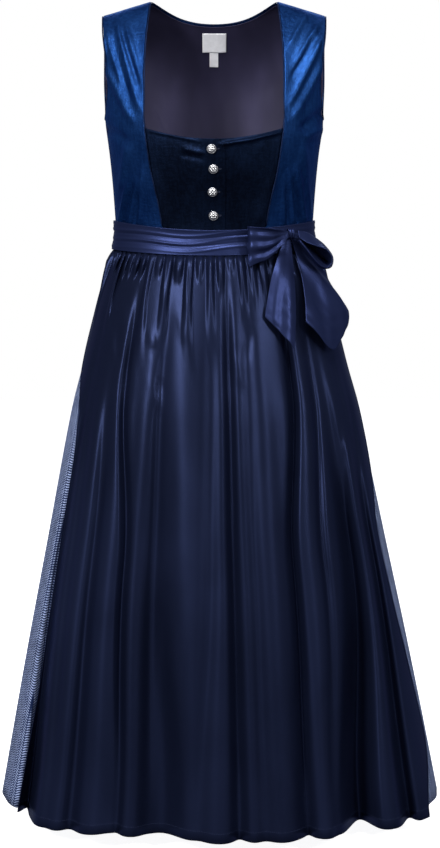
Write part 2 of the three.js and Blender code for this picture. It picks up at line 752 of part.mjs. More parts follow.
// Loop of the bow, swept from the knot out and back with its two edges as tabled.
function bowLoop(name, table) {
  const rows = table.map((row, k) => ({ ...row, k }));
  const surface = (u, v) => {
    const value = (column) => read(rows, 'k', column, u * (rows.length - 1));
    const z = lerp(value('bottom'), value('top'), v);
    const puff = 1.6 * Math.sin(Math.PI * v) * Math.sin(Math.PI * u);
    return outsidePoint(toRad(value('angle')), z, value('out') + puff);
  };
  return cloth(name, even(20), even(4), draped(surface), satin, bandSatin);
}

// Tail of the bow, with soft upright folds and a slanting end.
function bowTail(name, table, end, waves) {
  const surface = (u, v) => {
    const z = lerp(tailTop, read(end, 'across', 'z', u), v);
    const value = (column) => read(table, 'z', column, z);
    const angle = toRad(lerp(value('left'), value('right'), u));
    const wave = 0.2 + 3.2 * smooth(v, 0.1, 0.8);
    const out = lerp(value('outLeft'), value('outRight'), u);
    return outsidePoint(angle, z, out + wave * (1 - Math.cos(2 * Math.PI * waves * u)) * 0.5);
  };
  return cloth(name, even(8), even(8), draped(surface), satin, bandSatin);
}

// Knot: a short barrel of satin round the necks of the loops.
function bowKnot() {
  const centre = outsidePoint(toRad(knotAngle), -knotDrop, 7.2);
  const outward = outsidePoint(toRad(knotAngle), -knotDrop, 8.2).sub(centre);
  const sideways = new THREE.Vector3(-outward.y, outward.x, 0);
  const surface = (u, v) => {
    const turn = 2 * Math.PI * u;
    const bulge = 1 + 0.16 * Math.sin(Math.PI * v);
    const point = centre.clone().addScaledVector(outward, 6 * bulge * Math.cos(turn));
    point.addScaledVector(sideways, lerp(-6.2, 6.2, v));
    point.z += 7.6 * bulge * Math.sin(turn);
    return point;
  };
  const around = even(14).slice(0, -1);
  return cloth('bow_knot', around, even(4), draped(surface), satin, bandSatin, true);
}

// Domed silver button with petals round its boss, set on the right front.
function button(name, x, z) {
  const angle = Math.asin(x / read(torso, 'run', 'half', z));
  const lift = lap * smooth(x, -62, -24) + velvet / 2 + seam;
  const { point, normal } = onTorso(angle, z, lift);
  const sideways = new THREE.Vector3(0, 0, 1).cross(normal).normalize();
  const upward = normal.clone().cross(sideways);
  const segments = 12;
  const points = [];
  for (const { share, rise: height, petal } of buttonProfile) {
    for (let s = 0; s < segments; s += 1) {
      const turn = (2 * Math.PI * s) / segments;
      const radius = (share * buttonDiameter) / 2;
      const up = height + (s % 2 ? petal : 0);
      const at = point.clone().addScaledVector(sideways, radius * Math.cos(turn));
      at.addScaledVector(upward, radius * Math.sin(turn)).addScaledVector(normal, up);
      points.push(at);
    }
  }
  const foot = points.push(point.clone()) - 1;
  const crown = points.push(point.clone().addScaledVector(normal, buttonTop)) - 1;
  const faces = [];
  const at = (row, s) => row * segments + (s % segments);
  const rim = buttonProfile.length - 1;
  for (let s = 0; s < segments; s += 1) {
    for (let row = 0; row < rim; row += 1) {
      faces.push([at(row, s), at(row, s + 1), at(row + 1, s + 1)]);
      faces.push([at(row, s), at(row + 1, s + 1), at(row + 1, s)]);
    }
    faces.push([foot, at(0, s + 1), at(0, s)]);
    faces.push([crown, at(rim, s), at(rim, s + 1)]);
  }
  return body(name, points, faces, oldSilver);
}

const group = new THREE.Group();
group.name = 'dirndl';
group.add(
  frontRight,
  frontLeft,
  sideFront('bodice_side_front_right', -1),
  sideFront('bodice_side_front_left', 1),
  backCentre('bodice_back', backUp, 0, velvet, blueVelvet),
  backSide('bodice_side_back_right', -1, 0, velvet, blueVelvet),
  backSide('bodice_side_back_left', 1, 0, velvet, blueVelvet),
  backCentre('lining_back', liningUp, liningLift, liningCloth, aubergineLining),
  backSide('lining_side_right', -1, liningLift, liningCloth, aubergineLining),
  backSide('lining_side_left', 1, liningLift, liningCloth, aubergineLining),
  label('neck_label', -21, 21, -47, -79),
  label('care_label', -8.5, 7, -79.5, -104),
  neckCord('cord_front_right', -1),
  neckCord('cord_front_left', 1),
  backNeckCord(),
  armholeCord('cord_armhole_right', -1),
  armholeCord('cord_armhole_left', 1),
  cloth('apron_band', even(48).slice(0, -1), even(4), bandPlace, bandCloth, bandSatin, true),
  apron(),
  skirtFront(),
  skirtBack(),
  bowKnot(),
  bowLoop('bow_loop_right', loopLeft),
  bowLoop('bow_loop_left', loopRight),
  bowTail('bow_tail_inner', tailInner, tailInnerEnd, 2),
  bowTail('bow_tail_outer', tailOuter, tailOuterEnd, 3),
);
buttons.forEach(({ x, z }, k) => group.add(button(`button_${k + 1}`, x, z)));

export default group;
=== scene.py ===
import math

import bmesh
import bpy
import numpy as np
from bpy.props import FloatProperty, FloatVectorProperty, IntProperty, PointerProperty
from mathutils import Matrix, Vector
from mathutils.bvhtree import BVHTree


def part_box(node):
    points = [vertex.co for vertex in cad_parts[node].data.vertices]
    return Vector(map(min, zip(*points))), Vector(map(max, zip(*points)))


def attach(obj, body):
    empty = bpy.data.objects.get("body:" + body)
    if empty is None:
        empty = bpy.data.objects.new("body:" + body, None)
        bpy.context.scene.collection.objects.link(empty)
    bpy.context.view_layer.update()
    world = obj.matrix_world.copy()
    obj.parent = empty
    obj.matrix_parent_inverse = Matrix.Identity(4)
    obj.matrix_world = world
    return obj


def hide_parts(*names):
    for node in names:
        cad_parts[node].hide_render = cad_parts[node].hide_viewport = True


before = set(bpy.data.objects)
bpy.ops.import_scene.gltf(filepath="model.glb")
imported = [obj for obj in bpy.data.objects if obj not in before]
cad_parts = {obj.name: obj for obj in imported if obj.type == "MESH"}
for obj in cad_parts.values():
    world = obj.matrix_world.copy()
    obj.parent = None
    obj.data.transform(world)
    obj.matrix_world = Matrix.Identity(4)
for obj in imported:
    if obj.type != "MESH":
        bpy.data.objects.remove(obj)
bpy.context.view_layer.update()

bl_info = {
    "name": "Dirndl",
    "version": (1, 0, 0),
    "blender": (4, 5, 0),
    "location": "3D View > Sidebar > Dirndl",
    "description": "Velvet bodice, satin apron with bow and printed skirt of a long dirndl",
    "category": "Object",
}

# Metres, +Z up, front towards -Y, as in the frame. The origin is midway between the shoulders.
BODY = "root"
WELD = 2e-5

# ---------------------------------------------------------------- cut of skirt and apron

WAIST, WAIST_RISE = 0.415, 0.012
BAND_TOP, BAND_TOP_RISE = 0.389, 0.015
BAND_BOTTOM, BAND_BOTTOM_RISE = 0.434, 0.009
SEAM = 0.0003
APRON_LENGTH = 1.399
APRON_TUCK = 0.008
APRON_SWAY, SWAY_ANGLE, SWAY_WIDTH = 0.005, -0.5, 0.14
APRON_CORNER = 0.010
SKIRT_FRONT_LENGTH = 1.397
SKIRT_SIDE_LENGTH = 1.380
SKIRT_BACK_LENGTH = 1.390
# Heights down the skirt between which its long folds grow and turn, and those of the creases' columns.
FOLDS_START, FOLDS_TURN, FOLDS_FULL = 0.430, 0.900, APRON_LENGTH + 0.38
CREASE_HIGH, CREASE_MIDDLE, CREASE_LOW = 0.600, 0.950, 1.370
# Angle left free at each side seam of the skirt, and the height of the stitches above its hem.
SIDE_SEAM_ANGLE, HEM_DEPTH = 0.0011, 0.018
APRON_GATHERS = 32
SKIRT_GATHERS = 27


class Table:
    """Rows of given sizes with named columns, read as smooth curves along the first one."""

    def __init__(self, columns, rows):
        self.columns = columns.split()
        self.rows = np.array(sorted(rows), dtype=float)

    def each(self):
        return [dict(zip(self.columns, row)) for row in self.rows]

    def read(self, column, place):
        keys = self.rows[:, 0]
        values = self.rows[:, self.columns.index(column)]
        last = len(keys) - 1
        place = np.clip(place, keys[0], keys[last])
        k = np.clip(np.searchsorted(keys, place) - 1, 0, last - 1)
        low, high = np.maximum(k - 1, 0), np.minimum(k + 2, last)
        span = keys[k + 1] - keys[k]
        rise_in = (values[k + 1] - values[low]) / (keys[k + 1] - keys[low]) * span
        rise_out = (values[high] - values[k]) / (keys[high] - keys[k]) * span
        t = (place - keys[k]) / span
        ends = values[k] + (values[k + 1] - values[k]) * t * t * (3 - 2 * t)
        return ends + rise_in * t * (1 - t) ** 2 - rise_out * t * t * (1 - t)


SKIRT_RINGS = Table("z half front back shift", [
    (-1.410, 0.390, 0.297, 0.305, 0.010),
    (-1.380, 0.385, 0.292, 0.300, 0.010),
    (-1.130, 0.337, 0.256, 0.262, 0.007),
    (-0.915, 0.293, 0.223, 0.229, 0.004),
    (-0.705, 0.250, 0.190, 0.195, 0.001),
    (-0.630, 0.230, 0.177, 0.180, 0),
    (-0.565, 0.214, 0.166, 0.166, 0),
    (-0.495, 0.196, 0.151, 0.147, 0),
    (-0.448, 0.180, 0.136, 0.122, 0),
    (-0.427, 0.172, 0.125, 0.109, 0),
    (-0.398, 0.169, 0.121, 0.105, 0),
])

# Long folds: degrees at mid height and at the hem, depth at the hem, width in degrees.
FRONT_FOLDS = Table("middle hem depth width", [
    (-64, -59.5, 0.060, 3.6),
    (-44, -41, 0.022, 3.0),
    (-32, -28, 0.016, 3.2),
    (-20, -14.5, 0.064, 6.5),
    (-2, -5, 0.010, 2.6),
    (6, 5, 0.024, 2.6),
    (12, 11.5, 0.012, 2.4),
    (23.5, 22, 0.024, 3.4),
    (50, 38, 0.096, 5.0),
    (63, 57, 0.040, 3.2),
])
BACK_FOLDS = Table("middle hem depth width", [
    (-62, -60, 0.026, 5.4),
    (-42, -45, 0.052, 5.6),
    (-27, -26, 0.030, 4.0),
    (-7, -9, 0.064, 6.4),
    (11, 12, 0.028, 4.4),
    (28, 31, 0.058, 6.0),
    (50, 48, 0.036, 4.8),
    (66, 64, 0.022, 4.2),
])

# Finer folds between the long ones: degrees at 0.6 m, 0.95 m and 1.37 m down, depth inwards
# (a ridge is negative), half width, how far down each begins, and the share left at the hem.
FRONT_CREASES = Table("high middle low depth width start hem", [
    (-58, -55, -49.5, 0.006, 0.013, 0.56, 0.6),
    (-53, -51, -46.5, -0.004, 0.018, 0.56, 0.5),
    (-48, -44.5, -40, 0.005, 0.013, 0.50, 0.6),
    (-44, -38, -34, -0.005, 0.022, 0.46, 0.5),
    (-40, -31, -26.5, 0.015, 0.009, 0.45, 0.6),
    (-29, -25, -22, -0.003, 0.020, 0.45, 0.5),
    (-22, -20.5, -19, 0.006, 0.011, 0.44, 0.6),
    (-15, -13, -12, -0.003, 0.022, 0.45, 0.5),
    (-0.5, -2, -5, 0.004, 0.012, 0.42, 0.5),
    (6.1, 5.2, 4.7, 0.012, 0.008, 0.41, 0.5),
    (14.5, 12.5, 10.6, 0.004, 0.011, 0.41, 0.5),
    (22, 19, 17, -0.005, 0.024, 0.44, 0.5),
    (34, 25.5, 22.5, 0.022, 0.0085, 0.44, 0.6),
    (40, 32, 27.5, -0.005, 0.016, 0.48, 0.5),
    (45, 37, 30.5, 0.011, 0.010, 0.48, 0.6),
    (61, 50, 38, 0.005, 0.013, 0.60, 0.6),
    (66, 58, 50, -0.004, 0.020, 0.60, 0.5),
    (70, 64, 55, 0.006, 0.013, 0.55, 0.6),
])
BACK_CREASES = Table("high middle low depth width start hem", [
    (-70, -69, -68, 0.007, 0.012, 0.50, 0.6),
    (-52, -53, -53, -0.007, 0.016, 0.50, 0.6),
    (-36, -36, -35, 0.008, 0.011, 0.44, 0.6),
    (-18, -18, -18, -0.007, 0.018, 0.48, 0.6),
    (-13, -13.5, -14, 0.007, 0.010, 0.42, 0.6),
    (2, 1.5, 1, -0.007, 0.016, 0.46, 0.5),
    (6, 5.5, 5, 0.010, 0.010, 0.42, 0.6),
    (20, 20.5, 21, -0.006, 0.018, 0.50, 0.5),
    (36, 37, 38, 0.010, 0.012, 0.42, 0.6),
    (42, 42.5, 43, -0.006, 0.014, 0.50, 0.6),
    (58, 57, 56, 0.008, 0.011, 0.46, 0.6),
    (73, 72.5, 72, -0.006, 0.014, 0.55, 0.6),
])

# Small dents in the upper part of the apron: from one point of the front view to another.
APRON_DENTS = Table("x0 z0 x1 z1 height width", [
    (-0.176, -0.560, -0.168, -0.612, 0.0018, 0.0075),
    (-0.170, -0.590, -0.158, -0.566, -0.0016, 0.0060),
    (-0.166, -0.618, -0.160, -0.590, -0.0015, 0.0060),
    (-0.150, -0.520, -0.158, -0.556, 0.0014, 0.0070),
    (-0.112, -0.560, -0.098, -0.585, 0.0016, 0.0075),
    (-0.104, -0.600, -0.090, -0.576, -0.0014, 0.0065),
    (-0.098, -0.665, -0.086, -0.640, -0.0016, 0.0070),
    (-0.104, -0.640, -0.092, -0.690, 0.0014, 0.0085),
    (-0.058, -0.530, -0.050, -0.575, 0.0014, 0.0070),
    (0.038, -0.600, 0.046, -0.650, 0.0016, 0.0075),
    (0.062, -0.560, 0.054, -0.610, -0.0016, 0.0070),
])

APRON_EDGES = Table("z right left", [
    (-1.400, 64.5, 68.5),
    (-1.380, 64.5, 69),
    (-1.280, 64, 76),
    (-1.175, 63.5, 75),
    (-1.005, 65, 72),
    (-0.895, 66, 72),
    (-0.830, 66, 77),
    (-0.760, 67, 82),
    (-0.685, 72, 86),
    (-0.630, 81, 88),
    (-0.565, 86, 89),
    (-0.422, 88, 89),
])
APRON_LOFT = Table("z off gather", [
    (-1.400, 0.0060, 0),
    (-1.125, 0.0055, 0.0003),
    (-0.915, 0.0050, 0.0004),
    (-0.705, 0.0050, 0.0010),
    (-0.565, 0.0060, 0.0024),
    (-0.495, 0.0073, 0.0038),
    (-0.458, 0.0086, 0.0046),
    (-0.442, 0.0080, 0.0038),
    (-0.434, 0.0070, 0.0024),
    (-0.422, 0.0065, 0.0022),
])
SKIRT_LOFT = Table("z gather", [
    (-1.400, 0),
    (-0.915, 0.0016),
    (-0.705, 0.0030),
    (-0.550, 0.0046),
    (-0.472, 0.0050),
    (-0.447, 0.0038),
    (-0.433, 0.0018),
    (-0.398, 0.0014),
])

# ---------------------------------------------------------------- creases in the bodice

# Creases in the bodice: from one point of the front view to another, height (a trough is
# negative) and width.
STRAP_CREASES = Table("x0 z0 x1 z1 height width", [
    (-0.184, -0.045, -0.152, -0.150, 0.0032, 0.0065),
    (-0.168, -0.030, -0.124, -0.190, 0.0038, 0.0060),
    (-0.152, -0.040, -0.122, -0.136, 0.0026, 0.0050),
    (-0.186, -0.110, -0.136, -0.210, 0.0036, 0.0070),
    (-0.177, -0.060, -0.140, -0.180, -0.0030, 0.0050),
    (-0.160, -0.050, -0.127, -0.150, -0.0022, 0.0040),
    (-0.190, -0.215, -0.140, -0.245, -0.0030, 0.0080),
    (0.181, -0.035, 0.136, -0.115, 0.0034, 0.0060),
    (0.187, -0.058, 0.126, -0.180, 0.0040, 0.0060),
    (0.160, -0.020, 0.124, -0.085, 0.0024, 0.0050),
    (0.170, -0.060, 0.128, -0.140, -0.0026, 0.0045),
    (0.186, -0.105, 0.132, -0.205, 0.0034, 0.0065),
    (0.188, -0.188, 0.146, -0.222, -0.0042, 0.0080),
    (0.186, -0.215, 0.150, -0.236, 0.0030, 0.0070),
    (-0.165, -0.405, -0.141, -0.300, 0.0056, 0.0060),
    (-0.157, -0.405, -0.136, -0.310, -0.0050, 0.0045),
    (-0.148, -0.405, -0.130, -0.305, 0.0054, 0.0055),
    (-0.139, -0.405, -0.127, -0.320, -0.0040, 0.0040),
    (-0.129, -0.405, -0.119, -0.280, 0.0040, 0.0060),
    (-0.160, -0.330, -0.146, -0.240, 0.0030, 0.0070),
    (0.119, -0.405, 0.118, -0.300, 0.0034, 0.0050),
    (0.126, -0.405, 0.122, -0.300, -0.0036, 0.0045),
    (0.135, -0.405, 0.126, -0.290, 0.0050, 0.0055),
    (0.145, -0.405, 0.133, -0.300, -0.0044, 0.0045),
    (0.155, -0.405, 0.138, -0.280, 0.0058, 0.0060),
    (0.166, -0.400, 0.156, -0.310, 0.0040, 0.0060),
    (0.158, -0.320, 0.150, -0.240, 0.0028, 0.0080),
])
PANEL_CREASES = Table("x0 z0 x1 z1 height width", [
    (-0.052, -0.253, -0.014, -0.262, 0.0034, 0.0042),
    (-0.056, -0.264, -0.018, -0.272, -0.0020, 0.0040),
    (-0.110, -0.224, -0.022, -0.243, 0.0014, 0.0028),
    (0.010, -0.247, 0.068, -0.238, 0.0042, 0.0034),
    (0.060, -0.239, 0.113, -0.226, 0.0036, 0.0032),
    (-0.054, -0.300, -0.052, -0.420, -0.0010, 0.0016),
    (0.054, -0.300, 0.052, -0.420, -0.0010, 0.0016),
    (-0.100, -0.290, -0.076, -0.400, 0.0016, 0.0080),
    (0.096, -0.300, 0.072, -0.390, 0.0016, 0.0080),
    (0.014, -0.262, 0.015, -0.405, -0.0007, 0.0011),
])
BACK_WALL_CREASES = Table("x0 z0 x1 z1 height width", [
    (-0.182, -0.060, -0.120, -0.180, 0.0034, 0.0070),
    (-0.188, -0.110, -0.130, -0.200, -0.0026, 0.0060),
    (0.180, -0.055, 0.110, -0.190, 0.0036, 0.0075),
    (0.186, -0.120, 0.132, -0.215, -0.0028, 0.0060),
    (-0.060, -0.405, -0.075, -0.300, 0.0028, 0.0070),
    (-0.030, -0.405, -0.035, -0.320, -0.0022, 0.0060),
    (0.020, -0.405, 0.028, -0.310, 0.0026, 0.0070),
    (0.055, -0.405, 0.070, -0.320, -0.0024, 0.0060),
    (0.085, -0.405, 0.100, -0.290, 0.0028, 0.0070),
    (-0.110, -0.405, -0.120, -0.300, 0.0026, 0.0070),
    (-0.150, -0.400, -0.158, -0.300, 0.0024, 0.0070),
    (0.140, -0.400, 0.150, -0.300, 0.0026, 0.0070),
    (-0.070, -0.075, 0.066, -0.092, -0.0018, 0.0120),
])
LINING_CREASES = Table("x0 z0 x1 z1 height width", [
    (-0.090, -0.110, -0.070, -0.380, -0.0010, 0.0090),
    (0.095, -0.120, 0.080, -0.380, -0.0012, 0.0100),
    (-0.020, -0.160, -0.026, -0.380, -0.0008, 0.0100),
    (0.030, -0.170, 0.036, -0.380, -0.0008, 0.0090),
    (-0.104, -0.175, -0.080, -0.235, -0.0008, 0.0040),
])
# Creases of the bodice fade out between these heights, above the band.
CREASES_END = (-0.394, -0.368)
# Stretch of the armhole, in height, where the back is drawn out to its binding.
BINDING_REACH = (-0.095, -0.155)
# Corner of the side panels under the arm: its place, and how far and over what reach it is raised.
UNDERARM_OUT, UNDERARM_HEIGHT = 0.186, -0.204
UNDERARM_RISE, UNDERARM_BLEND = 0.005, 0.014
# Lap of a panel's edge over the side seam, how near the seam that edge lies, and how far out.
SEAM_LAP, SEAM_REACH, SEAM_OUT = 0.001, 0.0035, 0.15

# Soft pleats along the band: middle and width as shares of its height, height in metres
# (a trough is negative), and how much each wanders.
BAND_PLEATS = Table("centre height width waver", [
    (0.20, 0.0013, 0.050, 1.0),
    (0.38, -0.0012, 0.040, 0.8),
    (0.50, 0.0014, 0.050, 1.2),
    (0.66, -0.0011, 0.035, 0.7),
    (0.78, 0.0012, 0.045, 0.9),
    (0.93, 0.0009, 0.030, 0.2),
])

# Bow loops from the knot out and back: the edge near the front and the edge against the
# dress, and how far the satin bellies between them.
LOOP_RIGHT = Table("k near_x near_y near_z far_x far_y far_z belly", [
    (0, 0.124, -0.104, -0.402, 0.124, -0.104, -0.392, 0),
    (1, 0.114, -0.112, -0.408, 0.114, -0.111, -0.389, 0),
    (2, 0.097, -0.123, -0.418, 0.097, -0.118, -0.387, 0),
    (3, 0.080, -0.131, -0.431, 0.080, -0.123, -0.386, 0),
    (4, 0.065, -0.138, -0.444, 0.064, -0.127, -0.385, 0),
    (5, 0.057, -0.142, -0.449, 0.056, -0.134, -0.384, 0.001),
    (6, 0.060, -0.145, -0.452, 0.055, -0.142, -0.384, 0.002),
    (7, 0.067, -0.145, -0.448, 0.060, -0.150, -0.384, 0.002),
    (8, 0.078, -0.142, -0.444, 0.073, -0.152, -0.385, 0.003),
    (9, 0.090, -0.136, -0.440, 0.087, -0.148, -0.386, 0.004),
    (10, 0.103, -0.129, -0.429, 0.101, -0.138, -0.388, 0.003),
    (11, 0.115, -0.126, -0.414, 0.114, -0.121, -0.390, 0.004),
    (12, 0.126, -0.112, -0.402, 0.126, -0.110, -0.392, 0),
])
# The open loop: its rim towards the front, its outer edge, and how far out along the loop.
LOOP_LEFT = Table("k rim_x rim_y rim_z edge_x edge_y edge_z out", [
    (0, 0.144, -0.107, -0.402, 0.142, -0.099, -0.391, 0),
    (1, 0.157, -0.107, -0.411, 0.157, -0.088, -0.394, 0.20),
    (2, 0.174, -0.102, -0.417, 0.171, -0.075, -0.402, 0.45),
    (3, 0.190, -0.096, -0.423, 0.189, -0.064, -0.416, 0.75),
    (4, 0.199, -0.094, -0.435, 0.203, -0.062, -0.435, 0.95),
    (5, 0.198, -0.095, -0.448, 0.202, -0.068, -0.451, 1.00),
    (6, 0.189, -0.099, -0.453, 0.193, -0.082, -0.456, 0.95),
    (7, 0.179, -0.104, -0.448, 0.179, -0.096, -0.453, 0.75),
    (8, 0.167, -0.108, -0.435, 0.165, -0.102, -0.440, 0.45),
    (9, 0.157, -0.109, -0.421, 0.153, -0.104, -0.423, 0.20),
    (10, 0.146, -0.107, -0.407, 0.141, -0.102, -0.408, 0),
])
LOOP_BACK = ((0.140, -0.090, -0.399), (0.195, -0.058, -0.446))

# ---------------------------------------------------------------- trim

BUTTON_RADIUS, BUTTON_BACK = 0.00835, 0.88
BUTTON_PROFILE = Table("share rise petal rope", [
    (0.00, 0.0049, 0.0000, 0.0000),
    (0.10, 0.0049, 0.0000, 0.0000),
    (0.20, 0.0043, 0.0000, 0.0000),
    (0.27, 0.0038, 0.0001, 0.0000),
    (0.36, 0.0041, 0.0004, 0.0000),
    (0.50, 0.0040, 0.0006, 0.0000),
    (0.64, 0.0034, 0.0005, 0.0000),
    (0.74, 0.0025, 0.0002, 0.0000),
    (0.80, 0.0022, 0.0000, 0.0001),
    (0.88, 0.0024, 0.0000, 0.0003),
    (0.95, 0.0018, 0.0000, 0.0002),
    (1.00, 0.0009, 0.0000, 0.0001),
])
BUTTON_PETALS = 8
BUTTON_ROPE_TURNS = 36
BUTTON_NODES = ("button_1", "button_2", "button_3", "button_4")
HOLE_LENGTH, HOLE_WIDTH, HOLE_THREAD = 0.0195, 0.0022, 0.0005
HOLE_ASIDE, HOLE_STEPS = 0.0035, 48
STITCH_LENGTH, STITCH_GAP, STITCH_RADIUS = 0.0027, 0.0011, 0.00022


# ================================================================ settings


def length(label, note, default, low=0.0, high=0.1):
    return FloatProperty(
        name=label, description=note, default=default, min=low, max=high,
        precision=5, unit="LENGTH", subtype="DISTANCE",
    )


def colour(label, note, default):
    return FloatVectorProperty(
        name=label, description=note, default=default, size=3, min=0, max=1, subtype="COLOR",
    )


class DirndlCloth(bpy.types.PropertyGroup):
    velvet: length("Velvet", "Thickness of the bodice velvet", 0.0014)
    satin: length("Satin", "Thickness of the apron satin", 0.0010)
    cotton: length("Cotton", "Thickness of the printed cotton", 0.0010)
    lining: length("Lining", "Thickness of the lining", 0.0010)
    band: length("Band", "Thickness of the apron band", 0.0016)
    label: length("Label tape", "Thickness of the label tape", 0.0010)
    crease: FloatProperty(
        name="Crease depth", description="Times the set depth of the bodice creases",
        default=1.4, min=0, max=3, subtype="FACTOR",
    )
    fineness: IntProperty(
        name="Fineness", description="Subdivision steps of the bodice panels", default=3, min=1, max=4,
    )


class DirndlColours(bpy.types.PropertyGroup):
    # The velvet is mixed between these two colours by a random pile lay and by painted shade that darkens it
    # towards the waist.
    velvet_deep: colour("Velvet, pile upright", "Darkest blue of the velvet", (0.0020, 0.0120, 0.060))
    velvet_bright: colour("Velvet, pile lying over", "Brightest blue of the velvet", (0.0150, 0.0610, 0.215))
    # Front panels: the same blue velvet made darker, as painted shade of the panels that face straight ahead.
    panel_painted_shade_deep: colour("Front velvet, dark", "Darkest navy of the front panels", (0.0022, 0.0033, 0.008))
    panel_painted_shade_bright: colour("Front velvet, bright", "Brightest navy of the front panels", (0.010, 0.021, 0.058))
    velvet_sheen: colour("Velvet sheen", "Light on the tips of the pile", (0.06, 0.28, 1.0))
    satin: colour("Apron satin", "Navy of the apron", (0.0130, 0.0182, 0.0470))
    band: colour("Band satin", "Navy of the band and the bow", (0.0190, 0.0270, 0.0800))
    print_ground: colour("Print ground", "Navy of the printed cotton", (0.0080, 0.0170, 0.0620))
    print_mark: colour("Print mark", "Pale blue of the herringbone", (0.400, 0.490, 0.760))
    lining: colour("Lining", "Aubergine of the lining", (0.0280, 0.0255, 0.0560))
    tape: colour("Label tape", "Pale tape of the two labels", (0.97, 0.97, 1.0))
    piping: colour("Piping", "Dark satin of the piping", (0.0080, 0.0150, 0.0450))
    silver: colour("Old silver", "Metal of the buttons", (0.66, 0.66, 0.67))


class DirndlStage(bpy.types.PropertyGroup):
    distance: length("Camera distance", "From the shoulders to the camera", 4.182, 1, 20)
    height: length("Camera height", "Camera above the shoulders", -0.3428, -3, 3)
    aside: length("Camera aside", "Camera to the wearer's left", 0.0100, -1, 1)
    tilt: FloatProperty(
        name="Camera tilt", description="Downward tilt of the camera",
        default=math.radians(5.285), unit="ROTATION", subtype="ANGLE",
    )
    lens: FloatProperty(
        name="Lens", description="Focal length on a 36 mm picture height",
        default=101.88, min=10, max=400, unit="CAMERA",
    )
    floor: length("Floor", "Height of the floor", -1.425, -3, 0)
    light: FloatProperty(
        name="Light", description="Share of the set light power", default=1.0, min=0, max=5,
        subtype="FACTOR",
    )
    fill: FloatProperty(
        name="Fill", description="Strength of the faint light from all round", default=0.26,
        min=0, max=2, subtype="FACTOR",
    )
    paper: colour("Paper", "Pale floor", (0.93, 0.93, 0.93))


# ================================================================ shader maths


def tone(tint, share):
    """Darker or lighter tone of a colour."""
    return tuple(min(1, share * c) for c in tint)


class Value:
    """Output of a node. Arithmetic on it adds Math nodes."""

    def __init__(self, nodes, socket):
        self.nodes = nodes
        self.socket = socket

    def math(self, operation, first, second=0.0):
        return self.nodes.node("ShaderNodeMath", {"operation": operation}, {0: first, 1: second})

    def __add__(self, other):
        return self.math("ADD", self, other)

    __radd__ = __add__

    def __sub__(self, other):
        return self.math("SUBTRACT", self, other)

    def __rsub__(self, other):
        return self.math("SUBTRACT", other, self)

    def __mul__(self, other):
        return self.math("MULTIPLY", self, other)

    __rmul__ = __mul__

    def __truediv__(self, other):
        return self.math("DIVIDE", self, other)

    def __mod__(self, other):
        return self.math("FLOORED_MODULO", self, other)

    def sine(self):
        return self.math("SINE", self)

    def size(self):
        return self.math("ABSOLUTE", self)

    def floor(self):
        return self.math("FLOOR", self)

    def step(self, low, high):
        """Smooth step from 0 at low to 1 at high."""
        settings = {"interpolation_type": "SMOOTHSTEP", "clamp": True}
        return self.nodes.node("ShaderNodeMapRange", settings, {0: self, 1: low, 2: high})


class Nodes:
    """Node tree whose nodes all come from one method."""

    def __init__(self, tree):
        self.tree = tree

    def node(self, kind, settings=None, values=None, output=0):
        """Add a node, set it up, then feed its sockets with numbers or with links."""
        node = self.tree.nodes.new(kind)
        for key, value in (settings or {}).items():
            setattr(node, key, value)
        for key, value in (values or {}).items():
            self.feed(node.inputs[key], value)
        return Value(self, node.outputs[output])

    def feed(self, socket, value):
        if isinstance(value, Value):
            self.tree.links.new(value.socket, socket)
        else:
            socket.default_value = value


class Finish(Nodes):
    """Material of one cloth or metal, built on a Principled shader."""

    def __init__(self, name, **constants):
        self.material = bpy.data.materials.new(name)
        self.material.use_nodes = True
        super().__init__(self.material.node_tree)
        self.shader = self.tree.nodes["Principled BSDF"]
        self.shade(**constants)

    def shade(self, **values):
        for label, value in values.items():
            self.feed(self.shader.inputs[label.replace("_", " ")], value)

    def place(self):
        """Place on the object, in metres."""
        return self.node("ShaderNodeTexCoord", output="Object")

    def apart(self, vector):
        first = self.node("ShaderNodeSeparateXYZ", None, {0: vector})
        return [Value(self, out) for out in first.socket.node.outputs]

    def stretched(self, vector, x, y, z):
        settings = {"operation": "MULTIPLY"}
        return self.node("ShaderNodeVectorMath", settings, {0: vector, 1: (x, y, z)})

    def noise(self, vector, scale, detail=2.0, rough=0.5, warp=0.0):
        values = {"Vector": vector, "Scale": scale, "Detail": detail, "Roughness": rough, "Distortion": warp}
        return self.node("ShaderNodeTexNoise", None, values)

    def mix(self, share, first, second):
        """Colour between two colours."""
        def tint(value):
            return value if isinstance(value, Value) else (*value, 1)
        values = {0: share, 6: tint(first), 7: tint(second)}
        return self.node("ShaderNodeMix", {"data_type": "RGBA"}, values, 2)

    def tones(self, share, tint, dark, light=1):
        """Colour between a darker and a lighter tone of one tint."""
        return self.mix(share, tone(tint, dark), tone(tint, light))

    def bump(self, height, depth, strength=1.0, under=None):
        values = {"Height": height, "Distance": depth, "Strength": strength}
        if under is not None:
            values["Normal"] = under
        return self.node("ShaderNodeBump", None, values)

    def turn(self):
        """Turn round the upright axis, from -1 at the back to 1, with 0 in front."""
        x, y, _ = self.apart(self.place())
        return x.math("ARCTAN2", x, 0 - y) / math.pi


